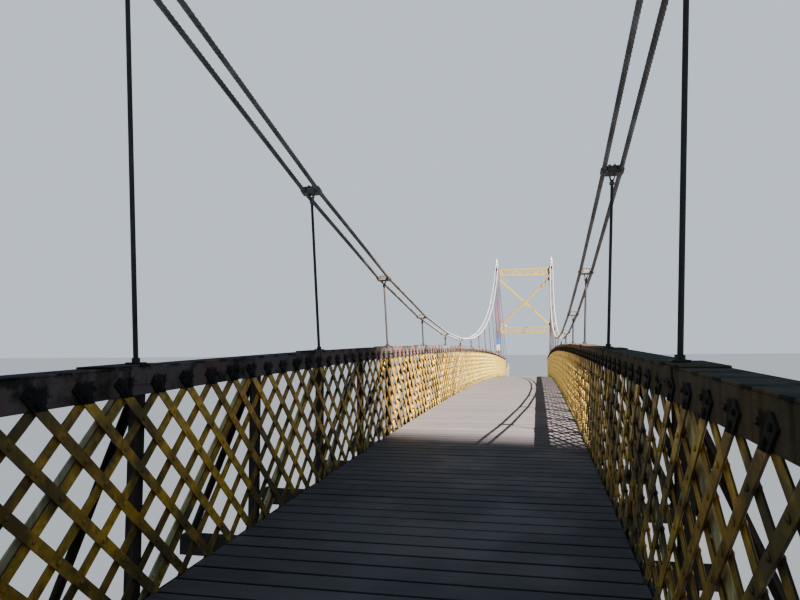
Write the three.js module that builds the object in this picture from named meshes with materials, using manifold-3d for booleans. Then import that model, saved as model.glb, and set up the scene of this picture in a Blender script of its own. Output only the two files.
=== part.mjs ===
// Suspension footbridge with lattice parapets, a 1:2 scale model of a bridge of sixteen bays.
// X runs along the bridge from the near tower to the far tower, +Y is the left parapet, +Z is up.
// The origin is on the ground, at the middle of the span.
import * as THREE from "three";
import { mergeVertices } from "three/addons/utils/BufferGeometryUtils.js";
import Module from "manifold-3d";

const wasm = await Module();
wasm.setup();

// Every driving dimension is the real bridge's size in millimetres, brought to the scale model.
const MODEL_SCALE = 1 / 2;
const real = (millimetres) => millimetres * MODEL_SCALE;
const GAP = 0.3;
const FLATNESS = 0.02;
const GRID = 1 / 256;

// Span and deck
const BAY = real(3050);
const BAYS = 16;
const CAMBER = real(605);
const DECK_ABOVE_GROUND = real(3000);
const DECK_HALF_WIDTH = real(1385);
const DECK_OVERHANG = real(400);
const BOARD_THICKNESS = real(60);

// Floor steelwork
const CROSS_BEAM = { width: real(100), depth: real(150), halfLength: real(2060), endHalfLength: real(1620) };
const STRINGER = { width: real(75), depth: real(90), offsets: [real(-900), real(900)] };
const STRINGER_BITE = real(10);

// Parapets
const RAIL_HEIGHT = real(1285);
const RAIL_WEB = { thickness: real(20), depth: real(160) };
const RAIL_PLATE = { width: real(205), thickness: real(20) };
const LATTICE = { thickness: real(20), barWidth: real(58), strip: real(60) };
const LATTICE_ROWS = { perBay: 20, height: real(143.7), top: real(1135) };
const LATTICE_SHIFT = { left: real(-12), right: real(70) };
const FLATS_PER_SOLID_FLAT = 5;
const PARAPET_FACE = real(1388);
const POST = { width: real(75), depth: real(80) };
const DIAGONAL = { width: real(110), thickness: real(16) };
const BOTTOM_CHORD = { width: real(80), depth: real(135) };
const RAKER = { width: real(60), topBelowRail: real(110), footInset: real(70) };

// Suspension ropes
const SAG = real(5455);
const ROPE_ABOVE_RAIL = real(205);
const ROPE_RADIUS = real(20);
const ROPE_SPACING = real(160);
const HANGER_LINE = real(1450);
const HANGER_RADIUS = real(13.5);
const HANGER_FOOT_TILT = HANGER_RADIUS * 0.08;
const CLAMP = { length: real(120), height: real(80), overhang: real(12) };
const SADDLE_RADIUS = real(420);
const BACKSTAY_ANGLE = THREE.MathUtils.degToRad(38);
const ROPE_SIDES = 6;
const HANGER_SIDES = 4;
const ROPE_STRETCHES = [
  { name: "near_backstay", hangers: 0 },
  { name: "near_rise", hangers: 3 },
  { name: "near_quarter", hangers: 3 },
  { name: "middle", hangers: 3 },
  { name: "far_quarter", hangers: 3 },
  { name: "far_rise", hangers: 3 },
  { name: "far_backstay", hangers: 0 },
];

// Towers
const TOWER_LINE = real(1830);
const LEG = { width: real(345), channelWidth: real(95), plate: real(14) };
const BATTENS = { count: 9, height: real(180) };
const LEG_BASE = { width: real(620), thickness: real(50) };
const LEG_HEAD = { width: LEG.width, thickness: real(40) };
const SADDLE = { length: real(520), width: real(300), height: real(150), steps: 6 };
const FINIAL = { height: real(620), neck: real(38), collar: real(70), bedding: real(30), sides: 10 };
const FINIAL_BALL = { radius: real(78), middle: real(160), shoulder: real(60), halfHeight: real(65) };
const FINIAL_ONION = { waist: real(32), low: real(255), radius: real(88), middle: real(330) };
const FINIAL_SPIKE = { radius: real(22), low: real(450), shoulder: real(66), shoulderHeight: real(390) };
const TOP_GIRDER = { low: real(6850), depth: real(480), chord: real(85), lacing: real(70), vees: 6 };
const LOWER_GIRDER = { low: real(2950), depth: real(410), chord: real(70), lacing: real(55), vees: 7 };
const GIRDER = { thickness: real(90), lacingInset: real(15) };
const CROSS_BRACE = { low: real(3376), high: real(6716), barWidth: real(120), thickness: real(20) };
const BRACE_END_PLATE = { width: real(90), height: real(260), overlap: real(40) };
const BRACE_TIE = { halfLength: real(240), width: real(70) };

// Masonry
const ABUTMENT = { halfWidth: real(2500), front: real(900), back: real(1500), bond: real(100) };
const PEDESTAL_WIDTH = real(760);
const ANCHOR = { length: real(2200), width: real(1500), ropeHeight: real(350) };
const ANCHOR_SLOPE = { above: real(420), below: real(620) };
const ANCHOR_UPSTAND = { width: real(500), length: real(1500), foot: real(2600), bond: real(200) };
const SOCKET = { radius: real(52), length: real(480) };

// Worked-out sizes
const HALF_BAY = BAY / 2;
const HALF_SPAN = (BAY * BAYS) / 2;
const STATIONS = Array.from({ length: BAYS * 2 + 1 }, (_, index) => -HALF_SPAN + index * HALF_BAY);
const QUARTER = BAYS / 2;
const DECK_TOP = DECK_ABOVE_GROUND;
const STEEL_TOP = -BOARD_THICKNESS;
const BEAM_TOP = STEEL_TOP - STRINGER.depth;
const BEAM_BOTTOM = BEAM_TOP - CROSS_BEAM.depth;
const RAIL_UNDERSIDE = RAIL_HEIGHT - RAIL_WEB.depth;
const LATTICE_BOTTOM = BEAM_TOP + GAP;
const LATTICE_BACK = PARAPET_FACE + LATTICE.thickness;
const LATTICE_SLOPE = LATTICE_ROWS.height / (BAY / LATTICE_ROWS.perBay);
const POST_FACE = LATTICE_BACK + GAP;
const POST_BACK = POST_FACE + POST.depth;
const ROPE_LOW = CAMBER + RAIL_HEIGHT + ROPE_ABOVE_RAIL;
const ABUTMENT_END = HALF_SPAN + ABUTMENT.back;
const ENDS = [["near", -1], ["far", 1]];
const SIDES = [["left", 1], ["right", -1]];

const paint = (name, color, roughness, metalness) =>
  new THREE.MeshStandardMaterial({ name, color, roughness, metalness });
const FINISH = {
  concrete: paint("concrete", 0xa39c8e, 0.95, 0),
  boards: paint("boards", 0x4a4641, 0.85, 0),
  blackSteel: paint("black_steel", 0x26221e, 0.6, 0.3),
  yellowSteel: paint("yellow_steel", 0xc9922a, 0.55, 0.2),
  greySteel: paint("grey_steel", 0x8f8a92, 0.6, 0.2),
  rope: paint("rope", 0x55504b, 0.55, 0.6),
};

const bridge = new THREE.Group();

// Height of the deck surface over its height at the towers, straight between the cross beams.
function camber(x) {
  const place = (x + HALF_SPAN) / HALF_BAY;
  const index = THREE.MathUtils.clamp(Math.floor(place), 0, STATIONS.length - 2);
  const height = (station) => CAMBER * (1 - (station / HALF_SPAN) ** 2);
  return THREE.MathUtils.lerp(height(STATIONS[index]), height(STATIONS[index + 1]), place - index);
}

// Raises a geometry that was drawn over a level deck, so that it follows the camber.
function arch(geometry) {
  const position = geometry.attributes.position;
  for (let index = 0; index < position.count; index += 1) {
    position.setZ(index, position.getZ(index) + DECK_TOP + camber(position.getX(index)));
  }
  return geometry;
}

// Rounds a coordinate, so that faces meant to lie in one plane do.
function toGrid(value) {
  return Math.round(value / GRID) * GRID;
}

function solidOf(geometry) {
  const bare = geometry.clone();
  bare.deleteAttribute("normal");
  bare.deleteAttribute("uv");
  const merged = mergeVertices(bare, 1e-4);
  return new wasm.Manifold(new wasm.Mesh({
    numProp: 3,
    vertProperties: new Float32Array(merged.attributes.position.array.map((value) => toGrid(value))),
    triVerts: new Uint32Array(merged.index.array),
  }));
}

// Joins geometries into one body, and then joins the triangles that lie in one plane.
function fuse(geometries) {
  const whole = geometries.map(solidOf).reduce((joined, piece) => joined.add(piece));
  return whole.asOriginal().simplify(FLATNESS);
}

function geometryOf(solid) {
  const { vertProperties, triVerts } = solid.getMesh();
  const geometry = new THREE.BufferGeometry();
  geometry.setAttribute("position", new THREE.BufferAttribute(new Float32Array(vertProperties), 3));
  geometry.setIndex(new THREE.BufferAttribute(new Uint32Array(triVerts), 1));
  geometry.computeVertexNormals();
  return geometry;
}

function addPiece(name, geometry, material) {
  const mesh = new THREE.Mesh(geometry, material);
  mesh.name = name;
  bridge.add(mesh);
}

// A block between two corners.
function block(x0, x1, y0, y1, z0, z1) {
  const geometry = new THREE.BoxGeometry(x1 - x0, Math.abs(y1 - y0), z1 - z0);
  return geometry.translate((x0 + x1) / 2, (y0 + y1) / 2, (z0 + z1) / 2);
}

// A long member with a joint at each of the given places along the bridge, so that it can be arched.
function longMember(places, y0, y1, z0, z1) {
  const geometry = new THREE.BoxGeometry(1, Math.abs(y1 - y0), z1 - z0, places.length - 1, 1, 1);
  const position = geometry.attributes.position;
  for (let index = 0; index < position.count; index += 1) {
    const column = Math.round((position.getX(index) + 0.5) * (places.length - 1));
    position.setX(index, places[column]);
  }
  return geometry.translate(0, (y0 + y1) / 2, (z0 + z1) / 2);
}

// A flat bar in a plane along the bridge, from one point to another given as [x, z].
function slantedBar(from, to, width, y0, y1) {
  const run = new THREE.Vector2(to[0] - from[0], to[1] - from[1]);
  const geometry = new THREE.BoxGeometry(run.length(), Math.abs(y1 - y0), width);
  geometry.rotateY(-run.angle());
  return geometry.translate((from[0] + to[0]) / 2, (y0 + y1) / 2, (from[1] + to[1]) / 2);
}

// A bar in a plane across the bridge, from one point to another given as [y, z].
function crossBar(from, to, width, x0, x1) {
  const run = new THREE.Vector2(to[0] - from[0], to[1] - from[1]);
  const geometry = new THREE.BoxGeometry(x1 - x0, run.length(), width);
  geometry.rotateX(run.angle());
  return geometry.translate((x0 + x1) / 2, (from[0] + to[0]) / 2, (from[1] + to[1]) / 2);
}

// A flat outline in the plane across the bridge, drawn as [y, z] and given a thickness along X.
function acrossPlate(shape, thickness, x) {
  const geometry = new THREE.ExtrudeGeometry(shape, { depth: thickness, bevelEnabled: false });
  geometry.rotateX(Math.PI / 2);
  geometry.rotateZ(Math.PI / 2);
  return geometry.translate(x - thickness / 2, 0, 0);
}

// A route of chosen points, with a ring of the section at each one.
class Route extends THREE.Curve {
  constructor(points) {
    super();
    this.points = points;
  }

  getPoint(t, target = new THREE.Vector3()) {
    const place = Math.min(t * (this.points.length - 1), this.points.length - 1 - 1e-9);
    const index = Math.floor(place);
    return target.lerpVectors(this.points[index], this.points[index + 1], place - index);
  }

  getSpacedPoints() {
    return this.points;
  }

  getTangentAt(u, target = new THREE.Vector3()) {
    const index = Math.round(u * (this.points.length - 1));
    const before = this.points[Math.max(index - 1, 0)];
    const here = this.points[index];
    const after = this.points[Math.min(index + 1, this.points.length - 1)];
    const arriving = here.clone().sub(before).normalize();
    const leaving = after.clone().sub(here).normalize();
    return target.addVectors(arriving, leaving).normalize();
  }
}

function roundBar(points, radius, sides) {
  const section = new THREE.Shape();
  for (let corner = 0; corner < sides; corner += 1) {
    const angle = (2 * Math.PI * (corner + 0.5)) / sides;
    const place = [radius * Math.cos(angle), radius * Math.sin(angle)];
    if (corner === 0) {
      section.moveTo(...place);
    } else {
      section.lineTo(...place);
    }
  }
  section.closePath();
  const route = new Route(points);
  return new THREE.ExtrudeGeometry(section, { steps: points.length - 1, extrudePath: route });
}

// The line of a pair of ropes: a parabola that leans outwards towards the towers.
function ropeHeight(x) {
  return DECK_TOP + ROPE_LOW + SAG * (x / HALF_SPAN) ** 2;
}

function ropeLine(x) {
  return HANGER_LINE + (TOWER_LINE - HANGER_LINE) * (x / HALF_SPAN) ** 2;
}

function hangerPlaces() {
  return STATIONS.filter((station, index) => index % 2 === 0 && index > 0 && index < STATIONS.length - 1);
}

const SPAN_SLOPE = Math.atan((ropeHeight(HALF_SPAN) - ropeHeight(HALF_SPAN - BAY)) / BAY);
const SADDLE_PEAK = ropeHeight(HALF_SPAN);
const ANCHOR_ROPE_HEIGHT = DECK_TOP + ANCHOR.ropeHeight;

// Points of the rope over a saddle, from the span to the backstay, as [distance past the tower, height].
function saddlePoints() {
  const arriving = [SPAN_SLOPE, SPAN_SLOPE / 2, 0];
  const leaving = [1, 2, 3].map((third) => (-third * BACKSTAY_ANGLE) / 3);
  return [...arriving, ...leaving].map((angle) => [
    -SADDLE_RADIUS * Math.sin(angle),
    SADDLE_PEAK - SADDLE_RADIUS * (1 - Math.cos(angle)),
  ]);
}

function anchorDistance() {
  const [past, height] = saddlePoints().at(-1);
  return HALF_SPAN + past + (height - ANCHOR_ROPE_HEIGHT) / Math.tan(BACKSTAY_ANGLE);
}

const ANCHOR_FACE = anchorDistance();

function ropeRoute(side, offset) {
  const towerY = side * (TOWER_LINE + offset);
  const half = saddlePoints().map(([past, height]) => [HALF_SPAN + past, height]);
  half.push([ANCHOR_FACE, ANCHOR_ROPE_HEIGHT]);
  const farEnd = half.map(([x, z]) => new THREE.Vector3(x, towerY, z));
  const nearEnd = half.map(([x, z]) => new THREE.Vector3(-x, towerY, z)).reverse();
  const span = hangerPlaces().map((x) => new THREE.Vector3(x, side * (ropeLine(x) + offset), ropeHeight(x)));
  return [...nearEnd, ...span, ...farEnd];
}

// Socket that a rope ends in, at its foot in the anchor block.
function ropeSocket(foot, end) {
  const along = new THREE.Vector3(-end * Math.cos(BACKSTAY_ANGLE), 0, Math.sin(BACKSTAY_ANGLE));
  const head = foot.clone().addScaledVector(along, SOCKET.length);
  return roundBar([foot, head], SOCKET.radius, ROPE_SIDES);
}

// The hangers at the given places, each with its clamp around the inner rope.
function hangerSolids(side, places) {
  const pieces = [];
  for (const x of places) {
    const y = side * ropeLine(x);
    const z = ropeHeight(x);
    const inner = y - side * (ROPE_SPACING / 2 + ROPE_RADIUS + CLAMP.overhang);
    const outer = y + side * (ROPE_SPACING / 2 - ROPE_RADIUS - GAP);
    const halfLength = CLAMP.length / 2;
    const halfHeight = CLAMP.height / 2;
    pieces.push(block(x - halfLength, x + halfLength, inner, outer, z - halfHeight, z + halfHeight));
    const seat = DECK_TOP + camber(x) + RAIL_HEIGHT + GAP + HANGER_FOOT_TILT;
    const foot = new THREE.Vector3(x, side * HANGER_LINE, seat);
    pieces.push(roundBar([foot, new THREE.Vector3(x, y, z)], HANGER_RADIUS, HANGER_SIDES));
  }
  return pieces;
}

// The outer rope of a pair, from anchor to anchor.
function makeOuterRope(label, side) {
  const route = ropeRoute(side, ROPE_SPACING / 2);
  const sockets = [ropeSocket(route[0], -1), ropeSocket(route.at(-1), 1)];
  const pieces = [roundBar(route, ROPE_RADIUS, ROPE_SIDES), ...sockets];
  addPiece(`rope_${label}_outer`, geometryOf(fuse(pieces)), FINISH.rope);
}

// The inner rope of a pair, in stretches that meet half way between two points, with their hangers.
function makeInnerRope(label, side) {
  const route = ropeRoute(side, -ROPE_SPACING / 2);
  const places = hangerPlaces();
  const pointsAtEnd = (route.length - places.length) / 2;
  const last = ROPE_STRETCHES.length - 1;
  const cut = (point, hand) => {
    const before = route[point - 1];
    const after = route[point];
    const along = after.clone().sub(before).normalize();
    return before.clone().lerp(after, 1 / 2).addScaledVector(along, (hand * GAP) / 2);
  };
  let from = 0;
  let hung = 0;
  ROPE_STRETCHES.forEach(({ name, hangers }, index) => {
    const to = from + (hangers === 0 ? pointsAtEnd : hangers);
    const points = route.slice(from, to);
    const pieces = hangerSolids(side, places.slice(hung, hung + hangers));
    if (index === 0) {
      pieces.push(ropeSocket(route[0], -1));
    } else {
      points.unshift(cut(from, 1));
    }
    if (index === last) {
      pieces.push(ropeSocket(route.at(-1), 1));
    } else {
      points.push(cut(to, -1));
    }
    pieces.push(roundBar(points, ROPE_RADIUS, ROPE_SIDES));
    addPiece(`rope_${label}_inner_${name}`, geometryOf(fuse(pieces)), FINISH.rope);
    from = to;
    hung += hangers;
  });
}

// Places where a long member is jointed: its ends and every station between them.
function placesBetween(start, stop) {
  return [start, ...STATIONS.filter((station) => station > start + GAP && station < stop - GAP), stop];
}

function makeDeck() {
  const places = placesBetween(-HALF_SPAN - DECK_OVERHANG, HALF_SPAN + DECK_OVERHANG);
  const boards = longMember(places, -DECK_HALF_WIDTH, DECK_HALF_WIDTH, STEEL_TOP, 0);
  addPiece("deck_boards", arch(boards), FINISH.boards);
}

// A quarter of the floor: stringers on top of the cross beams of four bays.
function makeFloorFrame(quarter) {
  const first = quarter === 0 ? 0 : quarter * QUARTER + 1;
  const last = (quarter + 1) * QUARTER;
  const halfBeam = CROSS_BEAM.width / 2;
  const start = quarter === 0 ? STATIONS[0] - halfBeam : STATIONS[first - 1] + halfBeam + GAP;
  const places = placesBetween(start, STATIONS[last] + halfBeam);
  const pieces = STRINGER.offsets.map((y) => {
    const half = STRINGER.width / 2;
    return longMember(places, y - half, y + half, BEAM_TOP - STRINGER_BITE, STEEL_TOP - GAP);
  });
  for (let index = first; index <= last; index += 1) {
    const x = STATIONS[index];
    const atTower = index === 0 || index === STATIONS.length - 1;
    const reach = atTower ? CROSS_BEAM.endHalfLength : CROSS_BEAM.halfLength;
    pieces.push(block(x - halfBeam, x + halfBeam, -reach, reach, BEAM_BOTTOM, BEAM_TOP));
  }
  addPiece(`floor_frame_${quarter + 1}`, geometryOf(fuse(pieces.map(arch))), FINISH.blackSteel);
}

// Top chord: an upright web facing the walkway, with a flat plate on it.
function makeHandrail(label, side) {
  const plateBottom = RAIL_HEIGHT - RAIL_PLATE.thickness;
  const webBack = side * (PARAPET_FACE + RAIL_WEB.thickness);
  const face = side * PARAPET_FACE;
  const web = longMember(STATIONS, face, webBack, RAIL_UNDERSIDE, RAIL_HEIGHT);
  const plateBack = side * (PARAPET_FACE + RAIL_PLATE.width);
  const plate = longMember(STATIONS, face, plateBack, plateBottom, RAIL_HEIGHT);
  addPiece(`handrail_${label}`, geometryOf(fuse([web, plate].map(arch))), FINISH.blackSteel);
}

// Half of a parapet's outer frame: bottom chord, posts, main diagonals and raking struts.
function makeParapetFrame(label, side, endLabel, end) {
  const middle = BAYS;
  const first = end < 0 ? 0 : middle;
  const last = end < 0 ? middle : STATIONS.length - 1;
  const face = side * POST_FACE;
  const postTop = RAIL_HEIGHT - RAIL_PLATE.thickness - GAP;
  const chordBottom = BEAM_TOP + GAP;
  const chordTop = chordBottom + BOTTOM_CHORD.depth;
  const halfPost = POST.width / 2;
  const start = end < 0 ? STATIONS[first] - halfPost : STATIONS[first] + halfPost + GAP;
  const chordBack = side * (POST_FACE + BOTTOM_CHORD.width);
  const places = placesBetween(start, STATIONS[last] + halfPost);
  const pieces = [longMember(places, face, chordBack, chordBottom, chordTop)];
  const firstPost = end < 0 ? first : first + 1;
  for (let index = firstPost; index <= last; index += 1) {
    const x = STATIONS[index];
    pieces.push(block(x - halfPost, x + halfPost, face, side * POST_BACK, chordBottom, postTop));
    const atTower = index === 0 || index === STATIONS.length - 1;
    if (!atTower) {
      const head = [side * (POST_BACK - RAKER.width / 2), postTop - RAKER.topBelowRail];
      const foot = [side * (CROSS_BEAM.halfLength - RAKER.footInset), chordBottom];
      pieces.push(makeRaker(x, head, foot));
    }
  }
  for (let index = first; index < last; index += 1) {
    const low = end < 0 ? STATIONS[index] : STATIONS[index + 1];
    const high = end < 0 ? STATIONS[index + 1] : STATIONS[index];
    const reach = DIAGONAL.width;
    const foot = [low - end * halfPost, chordTop - BOTTOM_CHORD.depth / 2];
    const head = [high + end * (halfPost + reach), postTop - reach];
    const back = side * (POST_FACE + DIAGONAL.thickness);
    pieces.push(slantedBar(foot, head, DIAGONAL.width, face, back));
  }
  addPiece(`parapet_frame_${label}_${endLabel}`, geometryOf(fuse(pieces.map(arch))), FINISH.blackSteel);
}

// A raking strut with a level foot that stands on the end of the cross beam.
function makeRaker(x, head, foot) {
  const half = RAKER.width / 2;
  const shape = new THREE.Shape();
  shape.moveTo(foot[0] - half, foot[1]);
  shape.lineTo(foot[0] + half, foot[1]);
  shape.lineTo(head[0] + half, head[1]);
  shape.lineTo(head[0] - half, head[1]);
  shape.closePath();
  return acrossPlate(shape, RAKER.width, x);
}

// A quarter of a parapet's lattice: crossed flats between a top and a bottom strip. Flats of both leans
// meet at each place of the top row, and every fifth place has its flats here.
function makeLattice(label, side, quarter) {
  const first = quarter * QUARTER;
  const start = STATIONS[first] + GAP / 2;
  const stop = STATIONS[first + QUARTER] - GAP / 2;
  const places = placesBetween(start, stop);
  const y0 = side * PARAPET_FACE;
  const y1 = side * LATTICE_BACK;
  const top = RAIL_UNDERSIDE - GAP;
  const pieces = [
    longMember(places, y0, y1, LATTICE_BOTTOM, LATTICE_BOTTOM + LATTICE.strip),
    longMember(places, y0, y1, top - LATTICE.strip, top),
  ];
  const flatPitch = (2 * BAY) / LATTICE_ROWS.perBay;
  const pitch = flatPitch * FLATS_PER_SOLID_FLAT;
  const reach = (top - LATTICE_BOTTOM) / LATTICE_SLOPE;
  const setOut = start + flatPitch / 2 + LATTICE_SHIFT[label];
  const firstCrossing = setOut - pitch * Math.ceil(reach / pitch);
  for (let crossing = firstCrossing; crossing < stop + reach; crossing += pitch) {
    for (const lean of [1, -1]) {
      const flat = latticeFlat(crossing, lean, start, stop, y0, y1);
      if (flat) {
        pieces.push(flat);
      }
    }
  }
  for (const edge of [start, stop]) {
    const inward = edge === start ? 1 : -1;
    const x0 = Math.min(edge, edge + inward * LATTICE.strip);
    pieces.push(block(x0, x0 + LATTICE.strip, y0, y1, LATTICE_BOTTOM, top));
  }
  addPiece(`lattice_${label}_${quarter + 1}`, geometryOf(fuse(pieces.map(arch))), FINISH.yellowSteel);
}

// One flat through a place of the top row, from the top strip to the bottom strip, cut off at the ends
// of its panel. It goes towards +X on its way down where its lean is positive.
function latticeFlat(crossing, lean, start, stop, y0, y1) {
  const bedding = LATTICE.strip / 2;
  const dropAt = (x) => lean * (x - crossing) * LATTICE_SLOPE;
  const atEnds = [dropAt(start + LATTICE.barWidth), dropAt(stop - LATTICE.barWidth)];
  const highest = LATTICE_ROWS.top - (RAIL_UNDERSIDE - GAP - bedding);
  const lowest = LATTICE_ROWS.top - (LATTICE_BOTTOM + bedding);
  const from = Math.max(highest, Math.min(...atEnds));
  const to = Math.min(lowest, Math.max(...atEnds));
  if (to - from < LATTICE.barWidth * 2) {
    return null;
  }
  const place = (drop) => [crossing + (lean * drop) / LATTICE_SLOPE, LATTICE_ROWS.top - drop];
  return slantedBar(place(from), place(to), LATTICE.barWidth, y0, y1);
}

// A tower leg: two channels back to back, held apart by batten plates, on a base plate.
function makeTowerLeg(label, side, endLabel, end) {
  const x = end * HALF_SPAN;
  const y = side * TOWER_LINE;
  const half = LEG.width / 2;
  const bottom = DECK_TOP + GAP;
  const top = SADDLE_PEAK - ROPE_RADIUS - SADDLE.height - LEG_HEAD.thickness;
  const pieces = [];
  for (const hand of [1, -1]) {
    const back = y + hand * half;
    const inside = back - hand * LEG.plate;
    const lip = back - hand * LEG.channelWidth;
    pieces.push(block(x - half, x + half, inside, back, bottom, top));
    pieces.push(block(x - half, x - half + LEG.plate, lip, back, bottom, top));
    pieces.push(block(x + half - LEG.plate, x + half, lip, back, bottom, top));
  }
  const pitch = (top - bottom) / BATTENS.count;
  for (let index = 0; index < BATTENS.count; index += 1) {
    const middle = bottom + (index + 0.5) * pitch;
    for (const face of [1, -1]) {
      const x0 = face > 0 ? x + half - LEG.plate : x - half;
      const z0 = middle - BATTENS.height / 2;
      pieces.push(block(x0, x0 + LEG.plate, y - half, y + half, z0, z0 + BATTENS.height));
    }
  }
  const foot = LEG_BASE.width / 2;
  const head = LEG_HEAD.width / 2;
  pieces.push(block(x - foot, x + foot, y - foot, y + foot, bottom, bottom + LEG_BASE.thickness));
  pieces.push(block(x - head, x + head, y - head, y + head, top, top + LEG_HEAD.thickness));
  addPiece(`tower_leg_${endLabel}_${label}`, geometryOf(fuse(pieces)), FINISH.greySteel);
}

// The saddle that the ropes run over, with a finial between the ropes.
function makeSaddle(label, side, endLabel, end) {
  const x = end * HALF_SPAN;
  const y = side * TOWER_LINE;
  const seat = SADDLE_PEAK - ROPE_RADIUS - GAP;
  const bottom = seat - SADDLE.height + 2 * GAP;
  const shape = new THREE.Shape();
  const halfLength = SADDLE.length / 2;
  shape.moveTo(-halfLength, bottom);
  shape.lineTo(halfLength, bottom);
  const crown = SADDLE_RADIUS - ROPE_RADIUS - 2 * GAP;
  const centre = SADDLE_PEAK - SADDLE_RADIUS;
  const reach = Math.asin(halfLength / crown);
  shape.lineTo(halfLength, centre + crown * Math.cos(reach));
  for (let step = 1; step <= SADDLE.steps; step += 1) {
    const angle = reach * (1 - (2 * step) / SADDLE.steps);
    shape.lineTo(crown * Math.sin(angle), centre + crown * Math.cos(angle));
  }
  shape.closePath();
  const body = new THREE.ExtrudeGeometry(shape, { depth: SADDLE.width, bevelEnabled: false });
  body.rotateX(Math.PI / 2);
  body.translate(x, y + SADDLE.width / 2, 0);
  const finial = makeFinial().translate(x, y, seat - FINIAL.bedding);
  addPiece(`tower_saddle_${endLabel}_${label}`, geometryOf(fuse([body, finial])), FINISH.greySteel);
}

// A turned finial: a neck, a ball, an onion-shaped bulb and a spike.
function makeFinial() {
  const profile = [
    [0, 0],
    [FINIAL.neck, 0],
    [FINIAL.neck, FINIAL.collar],
    [FINIAL_BALL.shoulder, FINIAL_BALL.middle - FINIAL_BALL.halfHeight],
    [FINIAL_BALL.radius, FINIAL_BALL.middle],
    [FINIAL_BALL.shoulder, FINIAL_BALL.middle + FINIAL_BALL.halfHeight],
    [FINIAL_ONION.waist, FINIAL_ONION.low],
    [FINIAL_ONION.radius, FINIAL_ONION.middle],
    [FINIAL_SPIKE.shoulder, FINIAL_SPIKE.shoulderHeight],
    [FINIAL_SPIKE.radius, FINIAL_SPIKE.low],
    [0, FINIAL.height],
  ];
  const points = profile.map(([radius, up]) => new THREE.Vector2(radius, up));
  return new THREE.LatheGeometry(points, FINIAL.sides).rotateX(Math.PI / 2);
}

// A girder between the tower legs: two chords and two end posts with zigzag lacing.
function makePortalGirder(name, end, girder) {
  const x = end * HALF_SPAN;
  const [x0, x1] = [x - GIRDER.thickness / 2, x + GIRDER.thickness / 2];
  const reach = TOWER_LINE - LEG.width / 2 - GAP;
  const bottom = DECK_TOP + girder.low;
  const top = bottom + girder.depth;
  const chord = girder.chord;
  const pieces = [
    block(x0, x1, -reach, reach, bottom, bottom + chord),
    block(x0, x1, -reach, reach, top - chord, top),
    block(x0, x1, -reach, -reach + chord, bottom, top),
    block(x0, x1, reach - chord, reach, bottom, top),
  ];
  const pitch = (2 * reach - chord) / (girder.vees * 2);
  for (let index = 0; index < girder.vees * 2; index += 1) {
    const start = -reach + chord / 2 + index * pitch;
    const heights = [top - chord / 2, bottom + chord / 2];
    const [z0, z1] = index % 2 === 0 ? heights : heights.reverse();
    const inset = GIRDER.lacingInset;
    pieces.push(crossBar([start, z0], [start + pitch, z1], girder.lacing, x0 + inset, x1 - inset));
  }
  addPiece(name, geometryOf(fuse(pieces)), FINISH.yellowSteel);
}

// Crossed flats between the two girders, with a small plate where they meet.
function makeCrossBrace(endLabel, end) {
  const x = end * HALF_SPAN;
  const half = CROSS_BRACE.thickness / 2;
  const reach = TOWER_LINE - LEG.width / 2 - GAP;
  const low = DECK_TOP + CROSS_BRACE.low;
  const high = DECK_TOP + CROSS_BRACE.high;
  const plateHalf = BRACE_END_PLATE.height / 2;
  const inner = reach - BRACE_END_PLATE.width;
  const pieces = [];
  for (const hand of [1, -1]) {
    const foot = [-hand * (inner + BRACE_END_PLATE.overlap), low + plateHalf];
    const head = [hand * (inner + BRACE_END_PLATE.overlap), high - plateHalf];
    pieces.push(crossBar(foot, head, CROSS_BRACE.barWidth, x - half, x + half));
    for (const middle of [low + plateHalf, high - plateHalf]) {
      const [z0, z1] = [middle - plateHalf, middle + plateHalf];
      pieces.push(block(x - half, x + half, hand * inner, hand * reach, z0, z1));
    }
  }
  const tie = BRACE_TIE.halfLength;
  const tieBottom = (low + high) / 2 - tie;
  pieces.push(block(x - half, x + half, -tie, tie, tieBottom, tieBottom + BRACE_TIE.width));
  addPiece(`portal_cross_brace_${endLabel}`, geometryOf(fuse(pieces)), FINISH.yellowSteel);
}

// Abutment: a shelf for the floor steelwork, a back wall up to the path and pedestals for the legs.
function makeAbutment(endLabel, end) {
  const shelf = DECK_TOP + BEAM_BOTTOM + camber(HALF_SPAN + CROSS_BEAM.width / 2) - GAP;
  const front = end * (HALF_SPAN - ABUTMENT.front);
  const back = end * ABUTMENT_END;
  const wall = end * (HALF_SPAN + DECK_OVERHANG + GAP);
  const deckEnd = DECK_TOP + camber(HALF_SPAN + DECK_OVERHANG);
  const side = ABUTMENT.halfWidth;
  const bonded = shelf - ABUTMENT.bond;
  const pieces = [
    block(Math.min(front, back), Math.max(front, back), -side, side, 0, shelf),
    block(Math.min(wall, back), Math.max(wall, back), -side, side, bonded, deckEnd),
  ];
  const half = PEDESTAL_WIDTH / 2;
  for (const [, hand] of SIDES) {
    const y = hand * TOWER_LINE;
    const inner = hand * (CROSS_BEAM.endHalfLength + GAP);
    const x = end * HALF_SPAN;
    pieces.push(block(x - half, x + half, inner, y + hand * half, bonded, deckEnd));
  }
  addPiece(`abutment_${endLabel}`, geometryOf(fuse(pieces)), FINISH.concrete);
}

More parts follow.
